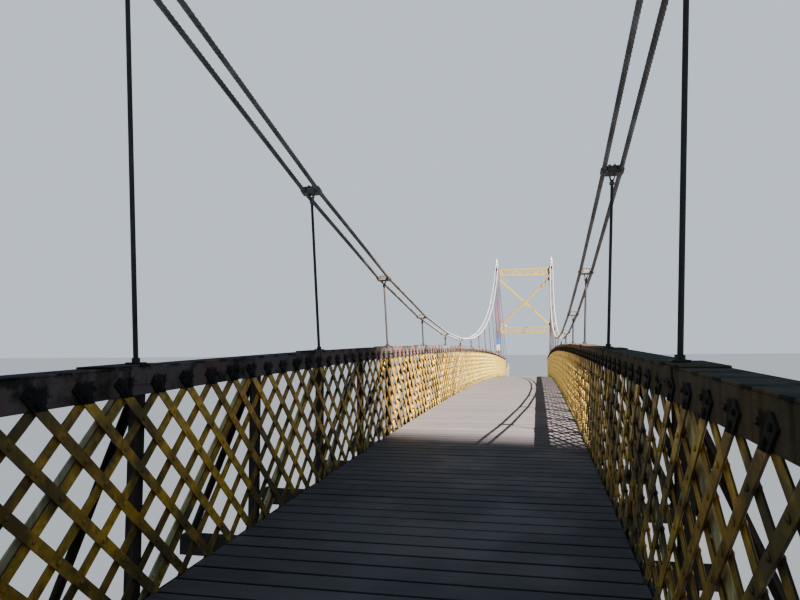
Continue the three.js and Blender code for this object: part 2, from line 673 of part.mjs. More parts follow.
// Anchor block: a wide footing and a narrow upstand, whose sloping face the backstays run into.
function makeAnchorBlock(label, side, endLabel, end) {
  const face = ANCHOR_FACE + GAP;
  const normal = new THREE.Vector2(Math.cos(BACKSTAY_ANGLE), -Math.sin(BACKSTAY_ANGLE));
  const corner = (distance) => [face - normal.y * distance, ANCHOR_ROPE_HEIGHT + normal.x * distance];
  const [topX, topZ] = corner(ANCHOR_SLOPE.above);
  const [lowX, lowZ] = corner(-ANCHOR_SLOPE.below);
  const footX = [end * lowX, end * (lowX + ANCHOR.length)].sort((a, b) => a - b);
  const y = side * TOWER_LINE;
  const footing = block(...footX, y - ANCHOR.width / 2, y + ANCHOR.width / 2, 0, ANCHOR_UPSTAND.foot);
  const bonded = ANCHOR_UPSTAND.foot - ANCHOR_UPSTAND.bond;
  const shape = new THREE.Shape();
  shape.moveTo(end * (lowX + GAP), bonded);
  shape.lineTo(end * (lowX + GAP), lowZ);
  shape.lineTo(end * topX, topZ);
  shape.lineTo(end * (lowX + ANCHOR_UPSTAND.length), topZ);
  shape.lineTo(end * (lowX + ANCHOR_UPSTAND.length), bonded);
  shape.closePath();
  const upstand = new THREE.ExtrudeGeometry(shape, { depth: ANCHOR_UPSTAND.width, bevelEnabled: false });
  upstand.rotateX(Math.PI / 2);
  upstand.translate(0, y + ANCHOR_UPSTAND.width / 2, 0);
  addPiece(`anchor_block_${endLabel}_${label}`, geometryOf(fuse([footing, upstand])), FINISH.concrete);
}

makeDeck();
for (let quarter = 0; quarter < 4; quarter += 1) {
  makeFloorFrame(quarter);
}
for (const [label, side] of SIDES) {
  makeHandrail(label, side);
  for (let quarter = 0; quarter < 4; quarter += 1) {
    makeLattice(label, side, quarter);
  }
  makeOuterRope(label, side);
  makeInnerRope(label, side);
}
for (const [endLabel, end] of ENDS) {
  makeAbutment(endLabel, end);
  makePortalGirder(`portal_top_girder_${endLabel}`, end, TOP_GIRDER);
  makePortalGirder(`portal_lower_girder_${endLabel}`, end, LOWER_GIRDER);
  makeCrossBrace(endLabel, end);
  for (const [label, side] of SIDES) {
    makeParapetFrame(label, side, endLabel, end);
    makeTowerLeg(label, side, endLabel, end);
    makeSaddle(label, side, endLabel, end);
    makeAnchorBlock(label, side, endLabel, end);
  }
}

export default bridge;
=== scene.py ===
import math
import random

import bmesh
import bpy
import numpy as np
from mathutils import Euler, Matrix, Vector, noise


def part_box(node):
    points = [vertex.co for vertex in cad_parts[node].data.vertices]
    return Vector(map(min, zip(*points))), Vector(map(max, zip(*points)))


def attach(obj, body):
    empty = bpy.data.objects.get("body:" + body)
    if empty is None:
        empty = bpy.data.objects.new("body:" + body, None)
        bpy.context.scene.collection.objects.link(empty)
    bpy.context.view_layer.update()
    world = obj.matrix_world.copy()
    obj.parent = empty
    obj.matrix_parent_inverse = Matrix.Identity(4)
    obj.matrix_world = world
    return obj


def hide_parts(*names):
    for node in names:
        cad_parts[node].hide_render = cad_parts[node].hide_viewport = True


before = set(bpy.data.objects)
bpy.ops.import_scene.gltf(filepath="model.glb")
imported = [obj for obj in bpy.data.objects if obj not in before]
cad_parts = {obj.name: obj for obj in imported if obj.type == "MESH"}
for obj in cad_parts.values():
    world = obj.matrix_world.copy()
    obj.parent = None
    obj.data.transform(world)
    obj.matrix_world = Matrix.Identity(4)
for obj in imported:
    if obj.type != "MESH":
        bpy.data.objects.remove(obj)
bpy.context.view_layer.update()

bl_info = {
    "name": "Lattice suspension footbridge",
    "version": (1, 0, 0),
    "blender": (4, 5, 0),
    "location": "3D View > Sidebar > Footbridge",
    "description": "Dresses the packed model of a suspension footbridge with boards, rivets, ropes and paint",
    "category": "Add Mesh",
}

MODEL_SCALE = 0.5
METRES_IN_MM = 0.001


def real(millimetres):
    """A size of the real bridge in millimetres, as metres of the half-size model."""
    return millimetres * METRES_IN_MM * MODEL_SCALE


# Span, deck and parapets. Heights are over the deck surface and distances across are from the middle.
BAY = real(3050)
BAYS = 16
HALF_BAY = BAY / 2
HALF_SPAN = BAY * BAYS / 2
QUARTERS = 4
QUARTER = BAYS * 2 // QUARTERS
CAMBER = real(605)
DECK_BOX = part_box("deck_boards")
DECK_LEVEL = DECK_BOX[1].z - CAMBER
BOARDS_IN_BAY = 15
BOARD_THICKNESS = real(60)
BOARD_PLAY = real(3)
BOARD_TILT = 0.004
SHORTEST_BOARD = real(20)
STRINGER = Vector((real(75), real(90)))
STRINGER_LINE = real(900)
BEAM = Vector((real(100), real(150)))
BEAM_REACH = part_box("floor_frame_2")[1].y
END_BEAM_REACH = real(1620)
BEAM_TOP = -BOARD_THICKNESS - STRINGER.y
BEAM_BOTTOM = BEAM_TOP - BEAM.y
LUG_THICKNESS = real(8)
LUG_REACH = real(55)
LUG_HEIGHT = real(70)
RAIL_HEIGHT = real(1285)
RAIL_DEPTH = real(160)
RAIL_WIDTH = real(205)
RAIL_PLATE = real(12)
RAIL_JOINT = real(140)
RAIL_ANGLE = real(65)
RAIL_GAP = real(4)
FACE = real(1388)
WEB = real(10)
FRAME_FACE = real(1408)
FRAME_LOW = BEAM_TOP + real(1)
POST_TOP = RAIL_HEIGHT - RAIL_PLATE - real(12)
POST_WIDTH = real(75)
POST_DEPTH = real(80)
DIAGONAL_WIDTH = real(110)
RAKER_WIDTH = real(60)
BOTTOM_CHORD = Vector((real(80), real(135)))

# Lattice: ten flats of each lean in a bay, which meet in rows.
ROW_PITCH = real(143.7)
TOP_ROW = real(1135)
ROWS = 9
FLATS_IN_BAY = 10
HALF_FLATS = BAYS * FLATS_IN_BAY // 2
FLAT_PITCH = BAY / FLATS_IN_BAY
FLAT_SLOPE = ROW_PITCH / (FLAT_PITCH / 2)
FLATS_PAST_END = 12
LAP = real(80)
LAP_RIVETS = (real(20), real(62))
FLAT_SHIFT = {"left": real(-12), "right": real(70)}

# Ropes
SAG = real(5455)
ROPE_ABOVE_RAIL = real(205)
ROPE_RADIUS = real(20)
STRAND_CROWN = real(4)
STRAND_VALLEY = 0.83
STRANDS = 6
LAYS_IN_UNIT = 3
STEPS_IN_LAY = 10
ROPE_SPACING = real(160)
HANGER_LINE = real(1450)
TOWER_LINE = real(1830)
SADDLE_RADIUS = real(420)
BACKSTAY_ANGLE = math.radians(38)
ANCHOR_FOOT = real(350)
ROPE_STRETCHES = ("near_backstay", "near_rise", "near_quarter", "middle", "far_quarter", "far_rise",
                  "far_backstay")

# Towers and masonry
LEG_HALF = real(345) / 2
LEG_BATTENS = 9
BATTEN_INSET = real(12)
CHANNEL_WIDTH = real(95)
PLATE = real(14)
FLANGE = LEG_HALF - real(9)
GIRDER_THICKNESS = real(90)
GIRDERS = (("top", 6, real(85), real(70)), ("lower", 7, real(70), real(55)))
BRACE_WIDTH = real(120)
SADDLE_LENGTH = real(520)
SADDLE_WIDTH = real(300)
SHELF_BOND = real(100)
ANCHOR_BOLT = (real(22), real(20), 6, real(16))

# Thickness of an angle's legs, edges of rolled steel and of concrete, and the angle of a crease
ANGLE_THICKNESS = real(9)
STEEL_EDGE = real(2)
THIN_EDGE = real(1.5)
PLATE_EDGE = real(3)
HEAVY_EDGE = real(4)
WALL_EDGE = real(14)
CREASE = 30

# Turned shapes, as radius and height in the real bridge's millimetres
SOCKET_PROFILE = ((0, 0), (52, 0), (52, 260), (48.88, 300), (30, 450), (30, 480), (0, 480))
BAND_PROFILE = ((19.6, -46), (30, -46), (33, -36), (33, 36), (30, 46), (19.6, 46), (19.6, -46))
FINIAL_HEIGHT = real(620)
FINIAL_PROFILE = ((0, 0), (46, 0), (46, 26), (34, 34), (34, 70), (44, 78), (60, 92), (73, 118), (78, 150),
                  (74, 182), (62, 208), (44, 228), (33, 240), (31, 254), (42, 270), (68, 292), (86, 318),
                  (86, 346), (72, 378), (52, 410), (34, 440), (23, 480), (16, 530), (9, 590), (0, 620))
LAMP_PROFILE = ((0, 0), (40, 0), (40, 18), (66, 30), (80, 62), (80, 84), (62, 126), (34, 146), (0, 152))

SIDES = (("left", 1), ("right", -1))
ENDS = (("near", -1), ("far", 1))
CORNERS = ((-1, -1), (-1, 1), (1, -1), (1, 1))
UP = Vector((0, 0, 1))
ALONG = Vector((1, 0, 0))
ACROSS = Vector((0, 1, 0))

# Camera, fitted to the photograph: place, heading to the left, pitch upwards, roll and focal length.
EYE = Vector((-9.203, -0.399, 2.360))
HEADING = 0.2177
PITCH = 0.0840
ROLL = 0.0076
LENS = 27.92
SENSOR = 36
FARTHEST_SEEN = 500
FLOOR_REACH = 400

# The key light shines down past the camera's right shoulder on to the far half, as far off as a soft sun.
KEY_TARGET = Vector((7.0, 0.0, 1.7))
KEY_RUN = Vector((0.655, 0.536, -1.0))
KEY_DROP = 60.0
KEY_RADIUS = 0.3
KEY_POWER = 2300000
KEY_CONE = math.radians(15.92)
KEY_BLEND = 0.012
KEY_COLOUR = (1.0, 0.93, 0.86)
FLOOR_LIGHT = 2.4
FLOOR_SHADE = math.radians(14)

# The sky as it lights the bridge and as the camera sees it: strengths and colours.
SKY_STRENGTH = (0.4, 0.9)
SKY_COLOURS = ((0.55, 0.74, 1.0, 1.0), (0.76, 0.86, 1.0, 1.0))


def from_srgb(red, green, blue):
    """A colour on the 8-bit screen scale, as the linear values that shaders use."""
    shares = [channel / 255 for channel in (red, green, blue)]
    return [c / 12.92 if c <= 0.04045 else ((c + 0.055) / 1.055) ** 2.4 for c in shares] + [1.0]


# Where the painted shade of the near half gives way to the painted sunlight of the far half, in metres from
# the middle.
NEAR_PAINTED_SHADE, FAR_PAINTED_SUN = -5.0, 3.0

# Faded share of each lattice's paint, and how many metres nearer its painted sunlight begins.
LATTICE_FADE_AND_SUN = {"left": (0.42, 0.0), "right": (0.7, 3.0)}

# How far each top chord is covered with pale smears in the near and in the far half. The smears are real;
# their larger share in the far half is painted sunlight.
SMEAR_AND_SUN_COVER = {"left": (0.55, 0.95), "right": (0.14, 0.4)}

# Old paints: coat, second tone and rust, as a colour on the panel or an 8-bit one, then the share of rust
# streaks, the roughness, the share of chips and the gloss.
PAINTS = {
    "black_paint": ("black", "black_worn", "rust_dark", 0.3, 0.8, 0.14, 0.15),
    "floor_paint": ("black", "black_worn", "rust_dark", 0.3, 0.8, 0.14, 0.15),
    "chord_paint_left": ("black", "black_worn", "rust_dark", 0.34, 0.8, 0.14, 0.15),
    "chord_paint_right": ("black_brown", "black_brown_worn", "rust_dark", 0.34, 0.8, 0.14, 0.15),
    "lap_paint_left": ((20, 20, 22), "black", "rust_dark", 0.2, 0.75, 0.12, 0.2),
    "lap_paint_right": ((30, 27, 22), "black_brown", "rust_dark", 0.2, 0.75, 0.12, 0.2),
    "diagonal_paint": ("yellow_faded", (186, 174, 134), "grime", 0.3, 0.6, 0.12, 0.5),
    "yellow_paint": ((150, 116, 4), (160, 132, 26), "rust", 0.22, 0.48, 0.1, 0.5),
    "lilac_grey_paint": ("tower", "tower_pale", "rust_dark", 0.14, 0.55, 0.08, 0.5),
    "smeared_tower_paint": ("tower", "tower_pale", "rust_dark", 0.14, 0.55, 0.08, 0.5),
    "finial_paint": ((222, 214, 196), (188, 180, 168), "rust_dark", 0.12, 0.5, 0.06, 0.5),
    "blue_plate_paint": ((40, 84, 138), (66, 102, 144), "rust_dark", 0.1, 0.4, 0.04, 0.5),
    "white_plate_paint": ((196, 190, 188), (164, 154, 156), "rust_dark", 0.16, 0.4, 0.06, 0.5),
    "galvanised_iron": ((112, 107, 102), "rope", "rust_dark", 0.3, 0.5, 0.1, 0.5),
    "rod_iron": ((60, 54, 50), "black", "rust_dark", 0.4, 0.5, 0.2, 0.5),
}

TINTS = {name: from_srgb(*shade) for name, shade in {
    "board crack": (30, 28, 29),
    # Painted shade on the sides of the boards, seen in the gaps.
    "painted gap shade": (18, 17, 18),
    # Painted dappled shade on the near half's lattice.
    "dappled_shade": (62, 54, 24),
    "splashed dirt": (78, 66, 44),
    # Painted shade on the edges of the lattice flats.
    "painted edge shade": (26, 22, 14),
    "pink smear": (162, 108, 96),
    "ochre run": (112, 86, 42),
    "blotch": (15, 16, 19),
    # Tints for the tops of the top chords: partly a dusty film, partly a painted sheen of the sky.
    "dust left": (34, 38, 37),
    "dust right": (52, 58, 48),
    "tower smear": (132, 62, 70),
    "concrete patch": (98, 92, 78),
    "concrete run": (92, 86, 74),
    "damp": (78, 78, 60),
    "lift seam": (80, 75, 66),
    "pale floor": (214, 214, 212),
    "floor patch": (208, 208, 206),
}.items()}


def stations():
    """Places of the cross beams and posts along the bridge."""
    return [-HALF_SPAN + index * HALF_BAY for index in range(BAYS * 2 + 1)]


def hanger_places():
    return [-HALF_SPAN + index * BAY for index in range(1, BAYS)]


def crossing_place(index, label):
    """Where two flats meet in the top row of a parapet's lattice."""
    return (index + 0.5) * FLAT_PITCH + FLAT_SHIFT[label]


def deck_height(x):
    """Height of the cambered deck surface over the ground."""
    return DECK_LEVEL + CAMBER * (1 - (x / HALF_SPAN) ** 2)


def deck_slope(x):
    return math.atan(-2 * CAMBER * x / HALF_SPAN ** 2)


def rope_height(x):
    return DECK_LEVEL + CAMBER + RAIL_HEIGHT + ROPE_ABOVE_RAIL + SAG * (x / HALF_SPAN) ** 2


def rope_line(x):
    return HANGER_LINE + (TOWER_LINE - HANGER_LINE) * (x / HALF_SPAN) ** 2


def rope_slope(x):
    return math.atan(2 * SAG * x / HALF_SPAN ** 2)


# Small shapes that larger pieces are stamped from

def keep(bm):
    """Turns a finished bmesh into a mesh to stamp from."""
    bmesh.ops.recalc_face_normals(bm, faces=bm.faces)
    mesh = bpy.data.meshes.new("unit")
    bm.to_mesh(mesh)
    bm.free()
    return mesh


def discard(*units):
    """Removes units that have been stamped."""
    for unit in units:
        bpy.data.meshes.remove(unit)


def bevel_all(bm, width, segments=1):
    bmesh.ops.bevel(bm, geom=bm.edges[:], offset=width, offset_type="OFFSET", segments=segments,
                    profile=0.5, affect="EDGES", material=-1, clamp_overlap=True)


def slice_at(bm, place, normal, clear=False):
    """Cuts new edges along a plane, and may clear away what is past it."""
    whole = bm.verts[:] + bm.edges[:] + bm.faces[:]
    return bmesh.ops.bisect_plane(bm, geom=whole, plane_co=place, plane_no=normal, clear_outer=clear)


def block(length, across, height, bevel, cuts=0):
    """A block about the origin with bevelled edges, and cuts across its length."""
    bm = bmesh.new()
    bmesh.ops.create_cube(bm, size=1.0)
    bmesh.ops.scale(bm, vec=(length, across, height), verts=bm.verts)
    bevel_all(bm, bevel)
    for index in range(cuts):
        slice_at(bm, (((index + 1) / (cuts + 1) - 0.5) * length, 0, 0), ALONG)
    return keep(bm)


def disc(radius, height, sides, crown=0.0):
    """A round head that stands on its face at the origin along Z, with a smaller crown on it."""
    crown_inset = 0.45
    bm = bmesh.new()
    made = bmesh.ops.create_cone(bm, cap_ends=True, segments=sides, radius1=radius, radius2=radius,
                                 depth=height)
    bmesh.ops.translate(bm, vec=(0, 0, height / 2), verts=made["verts"])
    if crown:
        top = [face for face in bm.faces if face.normal.z > 0.9]
        bmesh.ops.inset_region(bm, faces=top, thickness=radius * crown_inset, depth=0)
        verts = {vert for face in bm.faces if face.normal.z > 0.9 and len(face.verts) == sides
                 for vert in face.verts}
        bmesh.ops.translate(bm, vec=(0, 0, crown), verts=list(verts))
    return keep(bm)


def rivet_head(sizes, share=0.9, sides=6, crown=real(5)):
    return disc(sizes.rivet_radius * share, real(5), sides, crown)


def through_rivet(radius, grip):
    """A rivet with a head on each face, along Y, with its inner head towards +Y."""
    height = real(9)
    bm = bmesh.new()
    bmesh.ops.create_cone(bm, cap_ends=True, segments=8, radius1=radius, radius2=radius,
                          depth=grip + 2 * height * 0.35)
    caps = [face for face in bm.faces if abs(face.normal.z) > 0.9]
    bmesh.ops.inset_individual(bm, faces=caps, thickness=radius * 0.42, depth=height * 0.65)
    bmesh.ops.rotate(bm, verts=bm.verts, cent=(0, 0, 0), matrix=Matrix.Rotation(math.pi / 2, 3, "X"))
    return keep(bm)


def turned(profile, sides):
    """A turned shape from points of radius and height in the real bridge's millimetres."""
    bm = bmesh.new()
    verts = [bm.verts.new((real(radius), 0, real(height))) for radius, height in profile]
    edges = [bm.edges.new(pair) for pair in zip(verts, verts[1:])]
    bmesh.ops.spin(bm, geom=verts + edges, cent=(0, 0, 0), axis=(0, 0, 1), dvec=(0, 0, 0),
                   angle=2 * math.pi, steps=sides, use_merge=True)
    bmesh.ops.remove_doubles(bm, verts=bm.verts, dist=1e-6)
    return keep(bm)


def at(x, y, z):
    return Matrix.Translation((x, y, z))


def facing(direction, place):
    """Turns a unit's Z towards a direction and puts it in place."""
    turn = Vector(direction).to_track_quat("Z", "Y").to_matrix().to_4x4()
    return Matrix.Translation(place) @ turn


def bar_matrix(start, end, face):
    """A unit's X runs from start to end, and its Y is square to that, towards the face direction."""
    start, end = Vector(start), Vector(end)
    run = (end - start).normalized()
    out = (Vector(face) - run * run.dot(Vector(face))).normalized()
    turn = Matrix((run, out, run.cross(out))).transposed().to_4x4()
    return Matrix.Translation((start + end) / 2) @ turn


# Pieces in the making

def group_of(name):
    """A collection that says what a light falls on."""
    return bpy.data.collections.get(name) or bpy.data.collections.new(name)


class Piece:
    """The mesh of a piece. What is added without a tone draws one from the piece's random numbers."""

    def __init__(self, rng=None):
        self.bm = bmesh.new()
        self.rng = rng

    def stamp(self, unit, matrix, tone=None, material=0):
        """Adds one copy of a unit, with its own tone and material."""
        copy = unit.copy()
        copy.transform(matrix)
        tone = self.rng.random() if tone is None else tone
        mark = copy.attributes.new("tone", "FLOAT", "POINT")
        mark.data.foreach_set("value", [tone] * len(copy.vertices))
        if material:
            copy.polygons.foreach_set("material_index", [material] * len(copy.polygons))
        self.bm.from_mesh(copy)
        discard(copy)

    def spend(self, unit, matrix, tone=None, material=0):
        """Adds a unit that is needed only once."""
        self.stamp(unit, matrix, tone, material)
        discard(unit)

    def fasten(self, head, outward, place, material=0):
        """Sets a rivet, bolt or nut on a surface, facing outward."""
        self.stamp(head, facing(outward, place), None, material)

    def block(self, low, high, bevel=STEEL_EDGE, tone=None, material=0, cuts=0):
        """Adds a bevelled block between two corners, given in any order."""
        low, high = Vector(low), Vector(high)
        size = [abs(value) for value in high - low]
        self.spend(block(*size, bevel, cuts), Matrix.Translation((low + high) / 2), tone, material)

    def bar(self, start, end, across, deep, face=ACROSS, bevel=STEEL_EDGE, tone=None, material=0):
        """Adds a flat bar between two points: across is its width, deep its thickness towards the face."""
        length = (Vector(end) - Vector(start)).length
        self.spend(block(length, deep, across, bevel), bar_matrix(start, end, face), tone, material)

    def rod(self, start, end, radius, sides):
        start, end = Vector(start), Vector(end)
        work = bmesh.new()
        bmesh.ops.create_cone(work, cap_ends=True, segments=sides, radius1=radius, radius2=radius,
                              depth=(end - start).length)
        self.spend(keep(work), facing(end - start, (start + end) / 2))

    def arch(self):
        """Raises a piece that was made over a level deck so that it follows the camber."""
        for vert in self.bm.verts:
            vert.co.z += deck_height(vert.co.x)

    def finish(self, name, materials, slot, nodes, crease=CREASE, normals=True):
        """Makes the object, gives it its materials, hangs it from the root body and hides the packed parts
        that it stands for.
        """
        if normals:
            bmesh.ops.recalc_face_normals(self.bm, faces=self.bm.faces)
        mesh = bpy.data.meshes.new(name)
        self.bm.to_mesh(mesh)
        self.bm.free()
        if not mesh.polygons:
            raise RuntimeError(f"{name} has no faces")
        mesh.shade_smooth()
        mesh.set_sharp_from_angle(angle=math.radians(crease))
        for material in materials:
            mesh.materials.append(material)
        piece = bpy.data.objects.new(name, mesh)
        bpy.context.scene.collection.objects.link(piece)
        group_of("footbridge pieces").objects.link(piece)
        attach(piece, "root")
        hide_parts(*nodes)


# Shader helpers

class Wiring:
    """Adds nodes to one shader tree and links them."""

    def __init__(self, tree):
        self.tree = tree

    def feed(self, socket, value):
        """Gives a socket a link or a plain value."""
        if isinstance(value, bpy.types.NodeSocket):
            self.tree.links.new(value, socket)
        else:
            socket.default_value = value

    def node(self, kind, sockets=None, **settings):
        """Adds a node, with its settings and with values or links for its sockets."""
        made = self.tree.nodes.new(f"ShaderNode{kind}")
        for name, value in settings.items():
            setattr(made, name, value)
        for name, value in (sockets or {}).items():
            self.feed(made.inputs[name], value)
        return made

    def math(self, operation, first, second=0.0):
        return self.node("Math", {0: first, 1: second}, operation=operation).outputs[0]

    def times(self, first, second):
        return self.math("MULTIPLY", first, second)

    def vector_math(self, operation, first, second):
        return self.node("VectorMath", {0: first, 1: second}, operation=operation).outputs[0]

    def vector(self, x=0.0, y=0.0, z=0.0):
        return self.node("CombineXYZ", {0: x, 1: y, 2: z}).outputs[0]

    def noise(self, place, scale, detail, **others):
        return self.node("TexNoise", {"Vector": place, "Scale": scale, "Detail": detail, **others}).outputs[0]

    def mix(self, share, first, second, mode="MIX"):
        """Two colours mixed by a share."""
        sockets = {0: share, 6: first, 7: second}
        return self.node("Mix", sockets, data_type="RGBA", blend_type=mode).outputs[2]

    def spread(self, value, low, high, start=0.0, stop=1.0):
        """A value brought from one range to another with soft ends."""
        sockets = {0: value, 1: low, 2: high, 3: start, 4: stop}
        return self.node("MapRange", sockets, interpolation_type="SMOOTHSTEP").outputs[0]

    def place(self):
        return self.node("TexCoord").outputs["Object"]

    def axis(self, index, kind="Object"):
        """One coordinate of the place on the piece, or of the way that its surface faces."""
        source = self.node("TexCoord").outputs[kind]
        return self.node("SeparateXYZ", {0: source}).outputs[index]

    def tone(self):
        return self.node("Attribute", attribute_name="tone").outputs["Fac"]

    def effect(self, name, make, **values):
        """Places a shared node group, built on its first use, with this material's own values."""
        made = self.node("Group", node_tree=bpy.data.node_groups.get(name) or make(name))
        for label, value in values.items():
            made.inputs[label].default_value = value
        return made.outputs

    def weather(self, scale, cover, edge=0.08, stretch=1.0):
        values = {"Scale": scale, "Cover": cover, "Edge": edge, "Stretch": stretch}
        return self.effect("weather_patches", wear_group, **values)


def new_group(name, inputs, outputs):
    """An empty shader node group with its sockets."""
    tree = bpy.data.node_groups.new(name, "ShaderNodeTree")
    for label, default in inputs.items():
        socket = tree.interface.new_socket(name=label, in_out="INPUT", socket_type="NodeSocketFloat")
        socket.default_value = default
    for label in outputs:
        tree.interface.new_socket(name=label, in_out="OUTPUT", socket_type="NodeSocketFloat")
    source = tree.nodes.new("NodeGroupInput")
    target = tree.nodes.new("NodeGroupOutput")
    return Wiring(tree), source.outputs, target.inputs


def wear_group(name):
    """Patches of wear or dirt, with a fine grain and streaks that run down."""
    inputs = {"Scale": 8.0, "Cover": 0.4, "Edge": 0.08, "Stretch": 1.0}
    wiring, given, wanted = new_group(name, inputs, ("Mask", "Grain"))
    place = wiring.place()
    moved = wiring.vector_math("MULTIPLY", place, wiring.vector(1.0, 1.0, given["Stretch"]))
    coarse = wiring.noise(moved, given["Scale"], 5.0, Roughness=0.62)
    level = wiring.math("SUBTRACT", 0.72, wiring.times(given["Cover"], 0.44))
    low = wiring.math("SUBTRACT", level, given["Edge"])
    high = wiring.math("ADD", level, given["Edge"])
    wiring.feed(wanted["Mask"], wiring.spread(coarse, low, high))
    wiring.feed(wanted["Grain"], wiring.noise(place, wiring.times(given["Scale"], 14.0), 3.0))
    return wiring.tree


def wood_group(name):
    """Grain that runs across the deck, with a shift for each board and worn, paler tracks."""
    inputs = {"Grain scale": 60.0, "Stretch": 0.06}
    wiring, given, wanted = new_group(name, inputs, ("Grain", "Cracks", "Worn"))
    place = wiring.place()
    shift = wiring.vector(y=wiring.times(wiring.tone(), 37.0))
    moved = wiring.vector_math("ADD", place, shift)
    along = wiring.vector_math("MULTIPLY", moved, wiring.vector(1.0, given["Stretch"], 1.0))
    grain = wiring.noise(along, given["Grain scale"], 6.0, Roughness=0.7, Distortion=0.3)
    wiring.feed(wanted["Grain"], grain)
    crack = wiring.noise(along, wiring.times(given["Grain scale"], 2.2), 2.0)
    wiring.feed(wanted["Cracks"], wiring.spread(crack, 0.62, 0.72))
    wiring.feed(wanted["Worn"], wiring.spread(wiring.noise(place, 2.6, 4.0), 0.42, 0.66))
    return wiring.tree


def crossing_group(name):
    """A mask round the lattice's crossings and a second one along the dirty tops of its lowest rows."""
    wiring, given, wanted = new_group(name, {"Shift": 0.0, "Rise": 0.0, "Reach": 0.05}, ("Mask", "Low"))
    x, height = wiring.axis(0), wiring.axis(2)
    part = wiring.math("POWER", wiring.math("DIVIDE", wiring.math("ABSOLUTE", x), HALF_SPAN), 2.0)
    crown = wiring.math("SUBTRACT", height, DECK_LEVEL + CAMBER)
    over_deck = wiring.math("ADD", crown, wiring.times(part, CAMBER))
    under = wiring.math("SUBTRACT", wiring.math("ADD", given["Rise"], TOP_ROW), over_deck)
    row = wiring.math("DIVIDE", under, ROW_PITCH)
    column = wiring.math("DIVIDE", wiring.math("SUBTRACT", x, given["Shift"]), FLAT_PITCH / 2)
    turns = [wiring.times(wiring.math(way, row, column), 0.5) for way in ("ADD", "SUBTRACT")]
    parts = [wiring.math("PINGPONG", wiring.math("ADD", value, 0.5), 0.5) for value in turns]
    wiring.feed(wanted["Mask"], wiring.spread(wiring.math("ADD", *parts), given["Reach"], 0.0))
    wiring.feed(wanted["Low"], wiring.spread(over_deck, real(240), 0.0))
    return wiring.tree


class Finish(Wiring):
    """A material in the making, with the colour that its coats have given it so far."""

    def __init__(self, name, roughness, metallic=0.0):
        self.material = bpy.data.materials.new(name)
        self.material.use_nodes = True
        super().__init__(self.material.node_tree)
        self.shader = self.tree.nodes["Principled BSDF"]
        self.shader.inputs["Roughness"].default_value = roughness
        self.shader.inputs["Metallic"].default_value = metallic
        self.colour = None

    def coat(self, share, colour, most=None):
        """Lays a colour over the others by a share, which a number or a second mask may lower."""
        if most is not None:
            share = self.times(share, most)
        self.colour = self.mix(share, self.colour, colour)

    def grain(self, value, share):
        """Darkens and lightens the colour by a fine noise."""
        level = self.spread(value, 0.3, 0.7, 0.45, 1.25)
        self.colour = self.mix(share, self.colour, self.vector(level, level, level), "MULTIPLY")

    def roughness(self, value):
        self.feed(self.shader.inputs["Roughness"], value)

    def relief(self, height, strength, distance):
        bump = self.node("Bump", {"Strength": strength, "Distance": distance, "Height": height})
        self.feed(self.shader.inputs["Normal"], bump.outputs[0])

    def done(self):
        self.feed(self.shader.inputs["Base Color"], self.colour)
        return self.material


def old_paint(name, colours):
    """Old paint from the table: two tones, dirt that has run down, chips and rust."""
    *tones, rust_cover, roughness, chips, gloss = PAINTS[name]
    coat, shade, rust = (getattr(colours, tone) if isinstance(tone, str) else from_srgb(*tone)
                         for tone in tones)
    paint = Finish(name, roughness)
    paint.shader.inputs["Specular IOR Level"].default_value = gloss
    faded = paint.weather(3.0, 0.5, 0.14)
    streaks = paint.weather(26.0, rust_cover, 0.12, 0.12)
    chipped = paint.weather(38.0, chips, 0.02)
    paint.colour = paint.mix(paint.spread(paint.tone(), 0.0, 1.0), coat, shade)
    paint.coat(faded["Mask"], shade, 0.6)
    paint.coat(streaks["Mask"], rust, 0.65)
    paint.coat(chipped["Mask"], rust, 0.8)
    paint.grain(faded["Grain"], 0.3)
    paint.roughness(paint.math("ADD", paint.times(streaks["Mask"], 0.3), roughness))
    height = paint.math("SUBTRACT", paint.times(faded["Grain"], 0.35), chipped["Mask"])
    paint.relief(height, 0.35, real(1.2))
    return paint


def chord_paint(label, colours):
    """Black paint of a top chord: dirt round the ends of the flats, a top tinted by a dusty film and a
    painted sheen of the sky, and rubbed pale smears that spread over the far half as painted sunlight.
    """
    paint = old_paint(f"chord_paint_{label}", colours)
    rubbed = paint.weather(4.5, 0.46, 0.03)
    clouds = paint.weather(11.0, 0.5, 0.12)
    # The smears spread over the far half, which paints it paler as painted sunlight.
    most = paint.spread(paint.axis(0), NEAR_PAINTED_SHADE, -0.5, *SMEAR_AND_SUN_COVER[label])
    cover = paint.times(most, paint.math("MAXIMUM", rubbed["Mask"], clouds["Mask"]))
    pink = paint.weather(2.1, 0.35, 0.1)
    paint.coat(cover, paint.mix(pink["Mask"], colours.smear, TINTS["pink smear"]), 0.8)
    if label == "right":
        paint.coat(paint.weather(18.0, 0.42, 0.14, 0.14)["Mask"], TINTS["ochre run"], 0.5)
    laps = paint.effect("crossing_dirt", crossing_group, Shift=FLAT_SHIFT[label], Rise=LAP * 0.55, Reach=0.5)
    blotch = paint.spread(paint.math("ADD", laps["Mask"], clouds["Grain"]), 0.55, 0.85)
    paint.coat(blotch, TINTS["blotch"], 0.8)
    # Top faces get a grey-blue tint: partly a dusty film, partly a painted sheen of the sky.
    paint.coat(paint.spread(paint.axis(2, "Normal"), 0.7, 1.0, 0.0, 0.6), TINTS[f"dust {label}"])
    return paint.done()


def smeared_tower_paint(colours):
    """The tower paint with a rubbed pinkish smear half way up."""
    paint = old_paint("smeared_tower_paint", colours)
    level = paint.math("ABSOLUTE", paint.math("SUBTRACT", paint.axis(2), DECK_LEVEL + real(4350)))
    clouds = paint.weather(12.0, 0.75, 0.12)
    smear = paint.times(paint.spread(level, real(900), real(500)), clouds["Mask"])
    paint.coat(smear, TINTS["tower smear"], 0.35)
    return paint.done()


